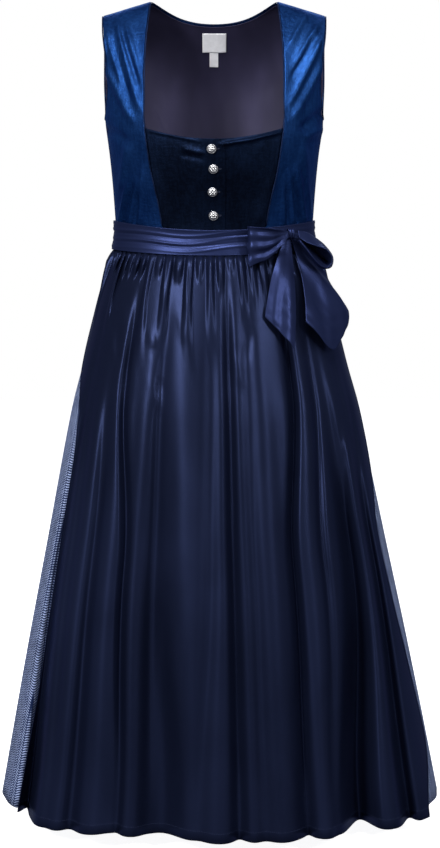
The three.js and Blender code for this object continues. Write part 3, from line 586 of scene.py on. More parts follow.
def velvet(name, deep, bright, sheen, glow):
    """Soft velvet: short pile that lies over a little unevenly, so it shines in fine streaks; painted shade
    darkens its colour towards the waist.
    """
    finish = Finish(
        name, Metallic=0.80, Sheen_Weight=glow, Sheen_Roughness=0.35, Sheen_Tint=(*sheen, 1),
        Specular_IOR_Level=0.12, Specular_Tint=(0.20, 0.40, 0.80, 1),
    )
    place = finish.place()
    broad = finish.noise(finish.stretched(place, 1, 1, 0.5), 16, 2, 0.5, 0.4)
    upright = finish.noise(finish.stretched(place, 1, 1, 0.22), 210, 3, 0.6)
    across = finish.noise(finish.stretched(place, 0.4, 0.4, 1), 260, 2, 0.6)
    fine = finish.noise(place, 1900, 2, 0.6)
    streaks = (upright * 0.6 + across * 0.4).step(0.38, 0.64)
    lying = broad.step(0.30, 0.70) * 0.50 + streaks * 0.35 + fine * 0.15
    _, _, height = finish.apart(place)
    # Painted shade: the velvet colour is darkened towards the waist, so from here lying holds both the random
    # pile lay and this painted shade.
    lying = lying * (1 - height.step(-0.18, -0.33) * 0.50)
    pile = finish.bump(fine, 0.0003, 0.35)
    brushed = finish.bump(streaks, 0.0007, 0.35, pile)
    finish.shade(
        Base_Color=finish.mix(lying, deep, bright),
        Roughness=0.52 - lying * 0.13,
        Normal=finish.bump(broad, 0.0022, 0.5, brushed),
    )
    return finish.material


def satin(name, tint):
    """Satin: fine upright floats, a broad soft gloss in the colour of the cloth."""
    finish = Finish(
        name, Metallic=0.66, Anisotropic=0.3, Specular_IOR_Level=0.14, Specular_Tint=(0.34, 0.42, 0.72, 1),
    )
    place = finish.place()
    turn = finish.turn()
    _, _, height = finish.apart(place)
    floats = (turn * 9000).sine() * 0.5 + 0.5
    weft = (height * 5200).sine() * 0.5 + 0.5
    slub = finish.noise(finish.stretched(place, 1, 1, 0.05), 420, 2, 0.6)
    picks = finish.noise(finish.stretched(place, 0.06, 0.06, 1), 380, 2, 0.6)
    soft = finish.noise(finish.stretched(place, 1, 1, 0.5), 7, 2, 0.5, 0.4)
    ground = finish.tones(soft.step(0.30, 0.72), tint, 0.82, 1.16)
    raised = slub.step(0.45, 0.75) * 0.25 + picks.step(0.5, 0.8) * 0.2
    thread = finish.mix(raised, ground, tone(tint, 1.16))
    weave = finish.bump(floats * 0.6 + weft * 0.4, 0.00006, 0.30)
    fine = finish.bump(slub * 0.5 + picks * 0.5, 0.00025, 0.4, weave)
    finish.shade(Base_Color=thread, Roughness=0.30 + soft * 0.10, Normal=finish.bump(soft, 0.004, 0.35, fine))
    return finish.material


def printed_cotton(name, ground, mark):
    """Navy cotton with narrow columns of short slanting dashes, turned about in each column."""
    column_width, dash_height, slant = 0.0105, 0.0044, 0.55
    mean_radius = 0.33
    finish = Finish(name, Specular_IOR_Level=0.12)
    place = finish.place()
    turn = finish.turn()
    _, _, height = finish.apart(place)
    columns = round(2 * math.pi * mean_radius / column_width / 2) * 2
    across = turn * (columns / 2)
    column = across.floor()
    inside = across - column
    side = (column % 2) * 2 - 1
    along = height / dash_height + (inside - 0.5) * side * (slant * column_width / dash_height)
    dash = ((along - along.floor()) - 0.5).size().step(0.30, 0.14)
    edge = (inside - 0.5).size().step(0.47, 0.36)
    marks = dash * edge
    worn = finish.noise(place, 60, 2, 0.5).step(0.30, 0.60)
    soft = finish.noise(place, 14, 2, 0.5)
    navy = finish.tones(soft.step(0.3, 0.7), ground, 0.8, 1.2)
    weave = (turn * 5200).sine() * (height * 3600).sine()
    finish.shade(
        Base_Color=finish.mix(marks * (worn * 0.35 + 0.65), navy, mark),
        Roughness=0.84 + soft * 0.1,
        Normal=finish.bump(weave, 0.00012, 0.4),
    )
    return finish.material


def lining_twill(name, tint):
    """Plain lining with a fine twill and a faint gloss."""
    finish = Finish(name, Roughness=0.55, Specular_IOR_Level=0.12)
    place = finish.place()
    x, _, z = finish.apart(place)
    twill = ((x + z) * 5600).sine()
    soft = finish.noise(finish.stretched(place, 1, 1, 0.3), 16, 3, 0.5)
    shaded = finish.tones(soft.step(0.3, 0.7), tint, 0.82, 1.18)
    normal = finish.bump(soft, 0.0010, 0.5, finish.bump(twill, 0.00006, 0.35))
    finish.shade(Base_Color=shaded, Roughness=0.50 + soft * 0.12, Normal=normal)
    return finish.material


def woven_tape(name, tint):
    """Bare label tape with a ribbed weave and a slightly uneven tone."""
    finish = Finish(name, Roughness=0.6, Specular_IOR_Level=0.35, Sheen_Weight=0.1)
    place = finish.place()
    x, _, z = finish.apart(place)
    ribs = (z * 6400).sine() * 0.6 + (x * 7400).sine() * 0.4
    soft = finish.noise(place, 90, 2, 0.5)
    shaded = finish.tones(soft.step(0.3, 0.7), tint, 0.90)
    finish.shade(Base_Color=shaded, Roughness=0.55 + soft * 0.12, Normal=finish.bump(ribs, 0.00010, 0.5))
    return finish.material


def piping_satin(name, tint):
    """Dark bias satin wrapped round a cord, with slanting threads."""
    finish = Finish(name, Specular_IOR_Level=0.1, Metallic=0.7, Specular_Tint=(0.25, 0.40, 0.80, 1))
    place = finish.place()
    x, y, z = finish.apart(place)
    threads = ((x + y + z) * 4200).sine()
    soft = finish.noise(place, 60, 2, 0.5)
    shaded = finish.tones(soft.step(0.3, 0.7), tint, 0.7, 1.5)
    finish.shade(Base_Color=shaded, Roughness=0.44 + soft * 0.14, Normal=finish.bump(threads, 0.00010, 0.5))
    return finish.material


def sewing_thread(name, tint):
    """Matt sewing thread."""
    finish = Finish(name, Roughness=0.7, Specular_IOR_Level=0.3)
    soft = finish.noise(finish.place(), 900, 2, 0.5)
    shaded = finish.tones(soft, tint, 0.6, 1.4)
    finish.shade(Base_Color=shaded, Normal=finish.bump(soft, 0.0001, 0.4))
    return finish.material


def old_silver(name, tint):
    """Silver, cloudy and uneven in tone, with grey left in the fine pits."""
    finish = Finish(name, Metallic=1.0, Roughness=0.3)
    place = finish.place()
    cloudy = finish.noise(place, 240, 3, 0.6)
    pits = finish.noise(place, 1600, 2, 0.6)
    shaded = finish.tones(cloudy.step(0.35, 0.70), tint, 0.62)
    finish.shade(
        Base_Color=finish.mix(pits.step(0.55, 0.75) * 0.5, shaded, tone(tint, 0.4)),
        Roughness=0.22 + cloudy * 0.2,
        Normal=finish.bump(pits, 0.00008, 0.4),
    )
    return finish.material


def pale_floor(name, tint):
    """Matt paper, a little uneven."""
    finish = Finish(name, Roughness=0.95, Specular_IOR_Level=0.1, Emission_Strength=1.0)
    soft = finish.noise(finish.place(), 1.5, 2, 0.5)
    shaded = finish.tones(soft, tint, 0.985)
    finish.shade(Base_Color=shaded, Emission_Color=shaded)
    return finish.material


# ================================================================ meshes


def smooth(value, low, high):
    t = np.clip((value - low) / (high - low), 0, 1)
    return t * t * (3 - 2 * t)


def lerp(first, second, share):
    return first + (second - first) * share


def new_piece(name, points, faces, material):
    mesh = bpy.data.meshes.new(name)
    mesh.from_pydata([tuple(p) for p in points], [], [tuple(f) for f in faces])
    mesh.shade_smooth()
    mesh.materials.append(material)
    piece = bpy.data.objects.new(name, mesh)
    bpy.context.scene.collection.objects.link(piece)
    return piece


def give_thickness(piece, cloth, offset):
    wall = piece.modifiers.new("Cloth", "SOLIDIFY")
    wall.thickness = cloth
    wall.offset = offset
    wall.use_even_offset = False
    wall.use_quality_normals = True


def hang(piece, nodes):
    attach(piece, BODY)
    if nodes:
        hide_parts(*nodes)


def welded(node):
    """CAD node's mesh with its triangles joined at their corners."""
    sheet = bmesh.new()
    sheet.from_mesh(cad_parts[node].data)
    bmesh.ops.remove_doubles(sheet, verts=sheet.verts, dist=WELD)
    return sheet


def parts_of(sheet, corner):
    """Groups of faces that meet at less than the corner angle."""
    waiting = set(sheet.faces)
    groups = []
    while waiting:
        group = [waiting.pop()]
        for face in group:
            for edge in face.edges:
                if len(edge.link_faces) != 2 or edge.calc_face_angle() > corner(edge):
                    continue
                for other in edge.link_faces:
                    if other in waiting:
                        waiting.remove(other)
                        group.append(other)
        groups.append(group)
    return sorted(groups, key=lambda group: -sum(face.calc_area() for face in group))


def to_quads(sheet, faces):
    """Dissolve the diagonals of a regular grid of triangles, followed from one clear case."""
    def clearness(face):
        sides = sorted(edge.calc_length() for edge in face.edges)
        return sides[2] / sides[1]

    seed = max(faces, key=clearness)
    diagonal = {seed: max(seed.edges, key=lambda edge: edge.calc_length())}
    allowed = set(faces)
    trail = [seed]
    for face in trail:
        own = diagonal[face]
        for edge in face.edges:
            for other in edge.link_faces:
                if other is face or other not in allowed or other in diagonal:
                    continue
                if edge is own:
                    diagonal[other] = own
                else:
                    foot = next(v for v in edge.verts if v not in own.verts)
                    diagonal[other] = next(e for e in other.edges if e is not edge and foot in e.verts)
                trail.append(other)
    bmesh.ops.dissolve_edges(sheet, edges=list(set(diagonal.values())), use_verts=False)


def refined(sheet, steps, name):
    """Points, normals and faces of a mesh after smooth subdivision."""
    mesh = bpy.data.meshes.new(name)
    sheet.to_mesh(mesh)
    sheet.free()
    rough = bpy.data.objects.new(name, mesh)
    bpy.context.scene.collection.objects.link(rough)
    rounder = rough.modifiers.new("Fine", "SUBSURF")
    rounder.levels = steps
    rounder.boundary_smooth = "PRESERVE_CORNERS"
    result = rough.evaluated_get(bpy.context.evaluated_depsgraph_get()).to_mesh()
    points = np.empty(len(result.vertices) * 3)
    result.vertices.foreach_get("co", points)
    normals = np.empty(len(result.vertices) * 3)
    result.vertices.foreach_get("normal", normals)
    faces = [tuple(face.vertices) for face in result.polygons]
    bpy.data.objects.remove(rough)
    bpy.data.meshes.remove(mesh)
    return points.reshape(-1, 3), normals.reshape(-1, 3), faces


def outer_sheet(node, cloth, steps):
    """Outward side of a CAD cloth wall, finely subdivided."""
    sheet = welded(node)

    def corner(edge):
        thin = any(min(e.calc_length() for e in face.edges) < 1.25 * cloth for face in edge.link_faces)
        return math.radians(50 if thin else 100)

    groups = parts_of(sheet, corner)

    def outwardness(group):
        total = 0
        for face in group:
            middle = face.calc_center_median()
            axis = Vector((0.6 * middle.x, 0, min(middle.z, -0.12)))
            total += face.calc_area() * face.normal.dot(middle - axis)
        return total

    outer = max(groups[:2], key=outwardness)
    keep = set(outer)
    bmesh.ops.delete(sheet, geom=[face for face in sheet.faces if face not in keep], context="FACES")
    to_quads(sheet, list(sheet.faces))
    return refined(sheet, steps, node + "_rough")


def creased(points, table, share=1.0):
    """Height of a table's creases at each point, seen from the front."""
    x, z = points[:, 0], points[:, 2]
    total = np.zeros(len(points))
    for row in table.each():
        run, fall = row["x1"] - row["x0"], row["z1"] - row["z0"]
        along = ((x - row["x0"]) * run + (z - row["z0"]) * fall) / (run * run + fall * fall)
        near = np.clip(along, 0, 1)
        away = np.hypot(x - row["x0"] - near * run, z - row["z0"] - near * fall)
        fade = smooth(along, -0.12, 0.22) * smooth(along, 1.12, 0.75)
        total += row["height"] * fade * np.exp(-((away / row["width"]) ** 2))
    return share * total


def ripples(points, seed, count, low, high, upright=0.25):
    """Faint waves of a soft cloth, from a few seeded directions."""
    draw = np.random.default_rng(seed)
    total = np.zeros(len(points))
    for _ in range(count):
        wave = draw.uniform(low, high)
        turn = draw.uniform(0, math.pi)
        way = np.array([math.cos(turn), 0.6 * math.sin(turn), upright * math.sin(2 * turn)])
        total += np.sin(points @ way * (2 * math.pi / wave) + draw.uniform(0, 6.28))
    return total / count


def grid_faces(wide, tall):
    return [
        (j * wide + i, j * wide + i + 1, (j + 1) * wide + i + 1, (j + 1) * wide + i)
        for j in range(tall - 1) for i in range(wide - 1)
    ]


def open_edge(faces):
    """Numbers of the points on the open edge of a sheet."""
    count = {}
    for face in faces:
        for a, b in zip(face, face[1:] + face[:1]):
            key = (min(a, b), max(a, b))
            count[key] = count.get(key, 0) + 1
    return np.array(sorted({v for key, uses in count.items() if uses == 1 for v in key}))


def close_underarm(points, faces, lap):
    """Raise a side panel's corner under the arm to its binding, and lap its edge over the side seam."""
    points = points.copy()
    corner = np.array([UNDERARM_OUT, 0, UNDERARM_HEIGHT])
    apart = np.linalg.norm(np.abs(points * (1, 1, 0)) + points * (0, 0, 1) - corner, axis=1)
    points[:, 2] += UNDERARM_RISE * (1 - smooth(apart, 0, UNDERARM_BLEND))
    edge = open_edge(faces)
    out, across, up = points[edge].T
    near = (np.abs(across) < SEAM_REACH) & (np.abs(out) > SEAM_OUT)
    below = up < UNDERARM_HEIGHT + 0.008
    points[edge[near & below], 1] = lap
    return points


def meet_binding(points, faces, binding, reach=0.011, blend=0.012):
    """Draw the edge of a panel out to an armhole binding that it falls a little short of."""
    cord = welded(binding)
    ring = np.array([v.co for v in cord.verts])
    cord.free()
    edge = open_edge(faces)
    high, low = BINDING_REACH
    zone = (points[edge, 2] < high) & (points[edge, 2] > low)
    edge = edge[zone & (np.abs(points[edge, 0]) > 0.16)]
    moves, homes = [], []
    for v in edge:
        gaps = ring - points[v]
        sizes = np.linalg.norm(gaps, axis=1)
        near = sizes.argmin()
        if 0.0006 < sizes[near] < reach:
            homes.append(points[v])
            moves.append(gaps[near] * (1 - 0.0005 / sizes[near]))
    if not moves:
        return points
    homes, moves = np.array(homes), np.array(moves)
    apart = np.linalg.norm(points[:, None, :] - homes[None, :, :], axis=2)
    nearest = apart.argmin(axis=1)
    share = 1 - smooth(apart[np.arange(len(points)), nearest], 0, blend)
    return points + moves[nearest] * share[:, None]


def stitch_row(points, normals, out):
    """Short raised stitches along a line, as points and faces of one mesh."""
    steps = np.linalg.norm(np.diff(points, axis=0), axis=1)
    runs = np.concatenate([[0], np.cumsum(steps)])
    starts = np.arange(0, runs[-1] - STITCH_LENGTH, STITCH_LENGTH + STITCH_GAP)

    def at(values, run):
        return np.stack([np.interp(run, runs, values[:, k]) for k in range(3)], axis=1)

    shares = np.array([0, 0.25, 0.75, 1])
    bulge = np.array([0.25, 1, 1, 0.25]) * STITCH_RADIUS
    verts, faces = [], []
    for start in starts:
        run = start + shares * STITCH_LENGTH
        middle, up = at(points, run), at(normals, run)
        up /= np.linalg.norm(up, axis=1)[:, None]
        way = middle[-1] - middle[0]
        way /= np.linalg.norm(way)
        side = np.cross(up, way)
        base = len(verts)
        for k in range(4):
            centre = middle[k] + up[k] * out
            for turn in (0, 1, 2, 3):
                angle = turn * math.pi / 2
                verts.append(centre + bulge[k] * (math.cos(angle) * side[k] + math.sin(angle) * up[k]))
        for k in range(3):
            for s in range(4):
                a, b = base + 4 * k + s, base + 4 * k + (s + 1) % 4
                faces.append((a, b, b + 4, a + 4))
        faces.append((base + 3, base + 2, base + 1, base))
        faces.append((base + 12, base + 13, base + 14, base + 15))
    return verts, faces


def join_rows(rows):
    verts, faces = [], []
    for row_verts, row_faces in rows:
        start = len(verts)
        verts.extend(row_verts)
        faces.extend(tuple(start + k for k in face) for face in row_faces)
    return verts, faces


def surface_under(piece):
    """Lookup of the point and normal on a piece where a ray meets it."""
    mesh = piece.data
    tree = BVHTree.FromPolygons([v.co for v in mesh.vertices], [p.vertices for p in mesh.polygons])

    def look(start, way):
        point, normal, _, _ = tree.ray_cast(Vector(start), Vector(way).normalized())
        if point is None:
            raise RuntimeError(f"{piece.name}: nothing to lie on at {tuple(start)}")
        if normal.dot(Vector(way)) > 0:
            normal.negate()
        return np.array(point), np.array(normal)

    return look


# ================================================================ skirt and apron


def fold_shift(folds, creases, angle, z, wider):
    degrees = np.degrees(angle)
    whole = smooth(APRON_LENGTH, FOLDS_START, FOLDS_FULL)
    growth = smooth(-z, FOLDS_START, FOLDS_FULL) / whole
    late = smooth(-z, FOLDS_TURN, APRON_LENGTH)
    shift = np.zeros_like(z + angle)
    for row in folds.each():
        centre = lerp(row["middle"], row["hem"], late)
        away = (degrees - centre) / (row["width"] * wider)
        shift += row["depth"] * growth * np.exp(-away * away)
    half = SKIRT_RINGS.read("half", z)
    mid, low = smooth(-z, CREASE_HIGH, CREASE_MIDDLE), smooth(-z, CREASE_MIDDLE, CREASE_LOW)
    for row in creases.each():
        centre = row["high"] + (row["middle"] - row["high"]) * mid + (row["low"] - row["middle"]) * low
        away = np.radians(degrees - centre) * half / (row["width"] * wider)
        grown = smooth(-z, row["start"], row["start"] + 0.22) * lerp(1, row["hem"], smooth(-z, 1.1, 1.4))
        shift += row["depth"] * grown * np.exp(-away * away)
    return shift


def skirt_point(angle, z, off, wider):
    """Skirt surface at an angle from the front centre, moved out and folded."""
    half = SKIRT_RINGS.read("half", z)
    to_front = np.cos(angle) >= 0
    depth = np.where(to_front, SKIRT_RINGS.read("front", z), SKIRT_RINGS.read("back", z))
    way = np.where(to_front, -1.0, 1.0)
    flat = np.abs(np.cos(angle))
    across, ahead = np.sin(angle) / half, way * flat / depth
    size = np.hypot(across, ahead)
    across, ahead = across / size, ahead / size
    turned = np.where(to_front, angle, math.pi * np.sign(angle) - angle)
    shift = np.where(
        to_front,
        fold_shift(FRONT_FOLDS, FRONT_CREASES, turned, z, wider),
        fold_shift(BACK_FOLDS, BACK_CREASES, turned, z, wider),
    )
    straight = smooth(flat, 0.17, 0.42)
    x = SKIRT_RINGS.read("shift", z) + half * np.sin(angle) + across * off * (1 - straight)
    y = way * depth * flat + ahead * off * (1 - straight)
    y = y + way * (off * straight / np.maximum(np.abs(ahead), 0.1) - shift)
    return np.stack([x, y, z + 0 * x], axis=-1)


def band_bottom(angle):
    return -BAND_BOTTOM + BAND_BOTTOM_RISE * np.sin(angle) ** 2


def waist_seam(angle):
    return -WAIST + WAIST_RISE * np.sin(angle) ** 2


def gathers(u, down, count, seed, short, long):
    """Rounded ridges between sharp valleys, each with its own height and its own length."""
    draw = np.random.default_rng(seed)
    strengths = draw.uniform(0.5, 1.4, count + 6)
    reaches = short + (long - short) * draw.uniform(0, 1, count + 6) ** 3
    phase = u * count + 0.16 * np.sin(9 * u + seed) + 0.10 * np.sin(23 * u + 1)
    index = np.clip(np.floor(phase).astype(int) + 2, 0, count + 5)
    ridge = np.abs(np.sin(math.pi * phase)) ** 1.3
    fade = 1 - smooth(down, 0.08 * reaches[index], reaches[index])
    return strengths[index] * ridge * fade


def drape(name, wide, tall, surface, near_top, material):
    """Cloth from a function of its place across and down; rows are closer near the top."""
    u = np.linspace(0, 1, wide)[None, :]
    v = np.linspace(0, 1, tall)[:, None]
    v = near_top * v * v + (1 - near_top) * v
    points = surface(u, v)
    return new_piece(name, points.reshape(-1, 3), grid_faces(wide, tall), material), points


def apron_angle(u, z):
    right = -np.radians(APRON_EDGES.read("right", z))
    left = np.radians(APRON_EDGES.read("left", z))
    return lerp(right, left, u)


def apron_surface(u, v):
    z = lerp(-BAND_BOTTOM, -APRON_LENGTH, v)
    angle = apron_angle(u, z)
    sway = APRON_SWAY * np.exp(-(((angle - SWAY_ANGLE) / SWAY_WIDTH) ** 2))
    sway = sway + APRON_CORNER * smooth(-angle, 1.01, 1.05)
    z = lerp(band_bottom(angle) - SEAM, sway - APRON_LENGTH, v)
    down = v * (APRON_LENGTH - BAND_BOTTOM)
    height = APRON_LOFT.read("gather", z)
    folds = gathers(u, down, APRON_GATHERS, 5, 0.05, 0.26)
    small = gathers(u, down, 2 * APRON_GATHERS + 7, 11, 0.02, 0.10)
    off = APRON_LOFT.read("off", z) + height * (2.6 * np.minimum(folds, 1) - 1.6)
    off = off - 0.0016 * (1 - small) * smooth(down, 0, 0.010) * smooth(down, 0.12, 0.04)
    off = np.maximum(off, 0.0018)
    hem = smooth(v, 0.9885, 0.9895) + smooth(np.abs(u - 0.5), 0.4938, 0.4946)
    off = off + 0.0005 * np.clip(hem, 0, 1)
    tuck = smooth(down, APRON_TUCK, 0)
    points = skirt_point(angle, z + 0.5 * APRON_TUCK * tuck, lerp(off, 0.0012, tuck), 1.0)
    flat = points.reshape(-1, 3)
    dents = creased(flat, APRON_DENTS).reshape(points.shape[:2])
    points[..., 1] -= dents
    return points


def skirt_front_surface(u, v):
    angle = lerp(-math.pi / 2 + SIDE_SEAM_ANGLE, math.pi / 2 - SIDE_SEAM_ANGLE, u)
    hem = -lerp(SKIRT_FRONT_LENGTH, SKIRT_SIDE_LENGTH, np.sin(angle) ** 4)
    z = lerp(waist_seam(angle) - SEAM / 2, hem, v)
    ripple = 0.0008 * np.sin(24 * math.pi * u) * smooth(-z, 0.420, 0.470)
    return skirt_point(angle, z, ripple - 0.0006, 1.12)


def skirt_back_surface(u, v):
    angle = lerp(math.pi / 2 + SIDE_SEAM_ANGLE, 1.5 * math.pi - SIDE_SEAM_ANGLE, u)
    hem = -lerp(SKIRT_BACK_LENGTH, SKIRT_SIDE_LENGTH, np.sin(angle) ** 4)
    z = lerp(waist_seam(angle) - SEAM / 2, hem, v)
    height = SKIRT_LOFT.read("gather", z) * smooth(np.sin(angle) ** 2, 1, 0.94)
    down = v * (SKIRT_BACK_LENGTH - WAIST)
    folds = gathers(u, down, SKIRT_GATHERS, 3, 0.14, 0.65)
    off = height * (1.9 * folds - 0.7)
    turned = np.where(angle > math.pi, angle - 2 * math.pi, angle)
    return skirt_point(turned, z, off, 1.0)


def rows_along(points, row):
    """Line of a draped grid along one of its rows, with outward normals."""
    line = points[row]
    across = np.gradient(line, axis=0)
    upward = points[row - 1] - line
    normals = np.cross(across, upward)
    normals /= np.linalg.norm(normals, axis=1)[:, None]
    return line, normals


def stitched_hem(name, points, row, out, thread):
    """Stitches of a hem, along one row of a draped grid."""
    line, normals = rows_along(points, row)
    if np.sum(normals[:, 1] * line[:, 1]) < 0:
        normals = -normals
    hem = new_piece(name, *stitch_row(line, normals, out), thread)
    hang(hem, [])
    return hem


class DirndlSkirt(bpy.types.Operator):
    """Printed skirt, front and back, gathered under the band"""

    bl_idname = "dirndl.skirt"
    bl_label = "Skirt"

    def execute(self, context):
        cloth, colours = context.scene.dirndl_cloth, context.scene.dirndl_colours
        material = printed_cotton("printed_cotton", colours.print_ground, colours.print_mark)
        thread = sewing_thread("thread_cotton", (0.05, 0.075, 0.16))
        sides = (
            ("skirt_front", skirt_front_surface, 300, 70),
            ("skirt_back", skirt_back_surface, 320, 90),
        )
        for node, surface, wide, tall in sides:
            piece, points = drape(node + "_cloth", wide, tall, surface, 0.25, material)
            give_thickness(piece, cloth.cotton, 0)
            hang(piece, [node])
            row = int(np.searchsorted(-points[:, wide // 2, 2], -points[-1, wide // 2, 2] - HEM_DEPTH))
            name = node + "_hem_stitches"
            hem = stitched_hem(name, points, row, cloth.cotton / 2, thread)
        return {"FINISHED"}


class DirndlApron(bpy.types.Operator):
    """Satin apron gathered on to the band, over the skirt"""

    bl_idname = "dirndl.apron"
    bl_label = "Apron"

    def execute(self, context):
        cloth, colours = context.scene.dirndl_cloth, context.scene.dirndl_colours
        material = satin("apron_satin", colours.satin)
        piece, points = drape("apron_cloth", 480, 88, apron_surface, 0.45, material)
        give_thickness(piece, cloth.satin, 0)
        hang(piece, ["apron"])
        thread = sewing_thread("thread_navy", (0.02, 0.03, 0.08))
        row = len(points) - 2
        hem = stitched_hem("apron_hem_stitches", points, row, cloth.satin / 2, thread)
        return {"FINISHED"}


# ================================================================ bodice


def panel(node, cloth, steps, table, share, material, seed, soft=0.0006, sink=-1.0):
    """Panel of the bodice on its CAD wall, with its creases. It sinks in no deeper than sink."""
    points, normals, faces = outer_sheet(node, cloth, steps)
    above_band = smooth(points[:, 2], *CREASES_END)
    height = creased(points, table, share) * above_band + soft * ripples(points, seed, 7, 0.035, 0.11)
    height = np.maximum(height, sink + 0.15 * (height - sink))
    points = points + normals * height[:, None]
    if "back" in node:
        for binding in ("cord_armhole_right", "cord_armhole_left"):
            points = meet_binding(points, faces, binding)
    if "side" in node:
        points = close_underarm(points, faces, SEAM_LAP if "front" in node else -SEAM_LAP)
    piece = new_piece(node + "_cloth", points, faces, material)
    give_thickness(piece, cloth, -1)
    return piece


class DirndlBodice(bpy.types.Operator):
    """Velvet fronts, side fronts with straps, back and side backs"""

    bl_idname = "dirndl.bodice"
    bl_label = "Bodice"

    def execute(self, context):
        cloth, colours = context.scene.dirndl_cloth, context.scene.dirndl_colours
        blue = velvet("blue_velvet", colours.velvet_deep, colours.velvet_bright, colours.velvet_sheen, 0.04)
        # navy is a darker copy of the blue velvet: painted shade on the front panels.
        navy = velvet("navy_velvet", colours.panel_painted_shade_deep, colours.panel_painted_shade_bright, colours.velvet_sheen, 0.02)
        panels = (
            ("bodice_front_right", PANEL_CREASES, navy, "navy_velvet", (0.140, 0.200), 0.0240),
            ("bodice_front_left", PANEL_CREASES, navy, "navy_velvet", (0.138, 0.200), 0.0235),
            ("bodice_side_front_right", STRAP_CREASES, blue, "blue_velvet", (0.190, 0.440), 0.0510),
            ("bodice_side_front_left", STRAP_CREASES, blue, "blue_velvet", (0.190, 0.440), 0.0510),
            ("bodice_back", BACK_WALL_CREASES, blue, "blue_velvet", (0.460, 0.425), 0.1200),
            ("bodice_side_back_right", BACK_WALL_CREASES, blue, "blue_velvet", (0.160, 0.290), 0.0340),
            ("bodice_side_back_left", BACK_WALL_CREASES, blue, "blue_velvet", (0.160, 0.290), 0.0340),
        )
        for seed, (node, table, material, slot, flat, area) in enumerate(panels):
            sink = -0.0001 if table is BACK_WALL_CREASES else -1.0
            piece = panel(
                node, cloth.velvet, cloth.fineness, table, cloth.crease, material, seed, 0.0006, sink,
            )
            hang(piece, [node])
        return {"FINISHED"}


class DirndlLining(bpy.types.Operator):
    """Aubergine lining of the back, seen through the neck"""

    bl_idname = "dirndl.lining"
    bl_label = "Lining"

    def execute(self, context):
        cloth, colours = context.scene.dirndl_cloth, context.scene.dirndl_colours
        material = lining_twill("lining", colours.lining)
        panels = (
            ("lining_back", (0.450, 0.415), 0.1150),
            ("lining_side_right", (0.160, 0.290), 0.0340),
            ("lining_side_left", (0.160, 0.290), 0.0340),
        )
        for seed, (node, flat, area) in enumerate(panels):
            piece = panel(
                node, cloth.lining, cloth.fineness, LINING_CREASES, cloth.crease, material, 20 + seed, 0.0,
            )
            hang(piece, [node])
        return {"FINISHED"}


class DirndlLabels(bpy.types.Operator):
    """Bare neck label and care label inside the back"""

    bl_idname = "dirndl.labels"
    bl_label = "Labels"

    def execute(self, context):
        cloth, colours = context.scene.dirndl_cloth, context.scene.dirndl_colours
        material = woven_tape("label_tape", colours.tape)
        for node, flat in (("neck_label", (0.042, 0.034)), ("care_label", (0.0155, 0.0265))):
            points, normals, faces = outer_sheet(node, cloth.label, 3)
            drop = (points[:, 2] - points[:, 2].max()) / np.ptp(points[:, 2])
            lift = -0.0007 * np.abs(drop) * (1 + 0.6 * np.sin(points[:, 0] * 220))
            piece = new_piece(node + "_tape", points + normals * lift[:, None], faces, material)
            give_thickness(piece, 0.6 * cloth.label, -1)
            hang(piece, [node])
        return {"FINISHED"}


class DirndlPiping(bpy.types.Operator):
    """Piping of the straps and front seams, and binding of neck and armholes"""

    bl_idname = "dirndl.piping"
    bl_label = "Piping"

    swell: length("Swell", "Makes up the radius that smoothing takes", 0.00024)

    def execute(self, context):
        colours = context.scene.dirndl_colours
        material = piping_satin("piping", colours.piping)
        nodes = (
            "cord_front_right", "cord_front_left", "cord_neck_back",
            "cord_armhole_right", "cord_armhole_left",
        )
        for node in nodes:
            sheet = welded(node)
            groups = parts_of(sheet, lambda edge: math.radians(80))
            ends = groups[1:]
            to_quads(sheet, groups[0])
            for group in ends:
                inner = {e for face in group for e in face.edges if all(f in group for f in e.link_faces)}
                bmesh.ops.dissolve_edges(sheet, edges=list(inner), use_verts=False)
            points, normals, faces = refined(sheet, 2, node + "_rough")
            piece = new_piece(node + "_piping", points + normals * self.swell, faces, material)
            hang(piece, [node])
        return {"FINISHED"}


# ================================================================ buttons


def button_pose(node):
    """Middle of a button's foot and the way it faces, from its CAD solid."""
    sheet = welded(node)
    back = [face for face in sheet.faces if face.normal.y > 0.2]
    way = Vector()
    for face in back:
        way -= face.normal * face.calc_area()
    way.normalize()
    floor = min(v.co.dot(way) for v in sheet.verts)
    foot = [v.co for v in sheet.verts if v.co.dot(way) < floor + 0.0003]
    middle = sum(foot, Vector()) / len(foot)
    sheet.free()
    return middle, way


def button_mesh(middle, way):
    side = Vector((0, 0, 1)).cross(way).normalized()
    up = way.cross(side)
    segments = 96
    shares = np.linspace(0.04, 1, 34)
    points = [middle + way * BUTTON_PROFILE.read("rise", 0)]
    faces = []
    for share in shares:
        rise = BUTTON_PROFILE.read("rise", share)
        petal = BUTTON_PROFILE.read("petal", share)
        rope = BUTTON_PROFILE.read("rope", share)
        for s in range(segments):
            turn = 2 * math.pi * s / segments
            relief = petal * (2 * abs(math.cos(BUTTON_PETALS * turn / 2)) ** 0.7 - 1)
            relief += rope * math.sin(BUTTON_ROPE_TURNS * turn + 40 * share)
            spot = middle + way * (rise + relief)
            points.append(spot + (side * math.cos(turn) + up * math.sin(turn)) * (share * BUTTON_RADIUS))
    for s in range(segments):
        turn = 2 * math.pi * s / segments
        points.append(middle + (side * math.cos(turn) + up * math.sin(turn)) * (BUTTON_BACK * BUTTON_RADIUS))
    rings = len(shares) + 1
    for s in range(segments):
        after = (s + 1) % segments
        faces.append((0, 1 + s, 1 + after))
        for ring in range(rings - 1):
            a, b = 1 + ring * segments + s, 1 + ring * segments + after
            faces.append((a, a + segments, b + segments, b))
    faces.append(tuple(1 + (rings - 1) * segments + s for s in range(segments)))
    return points, faces


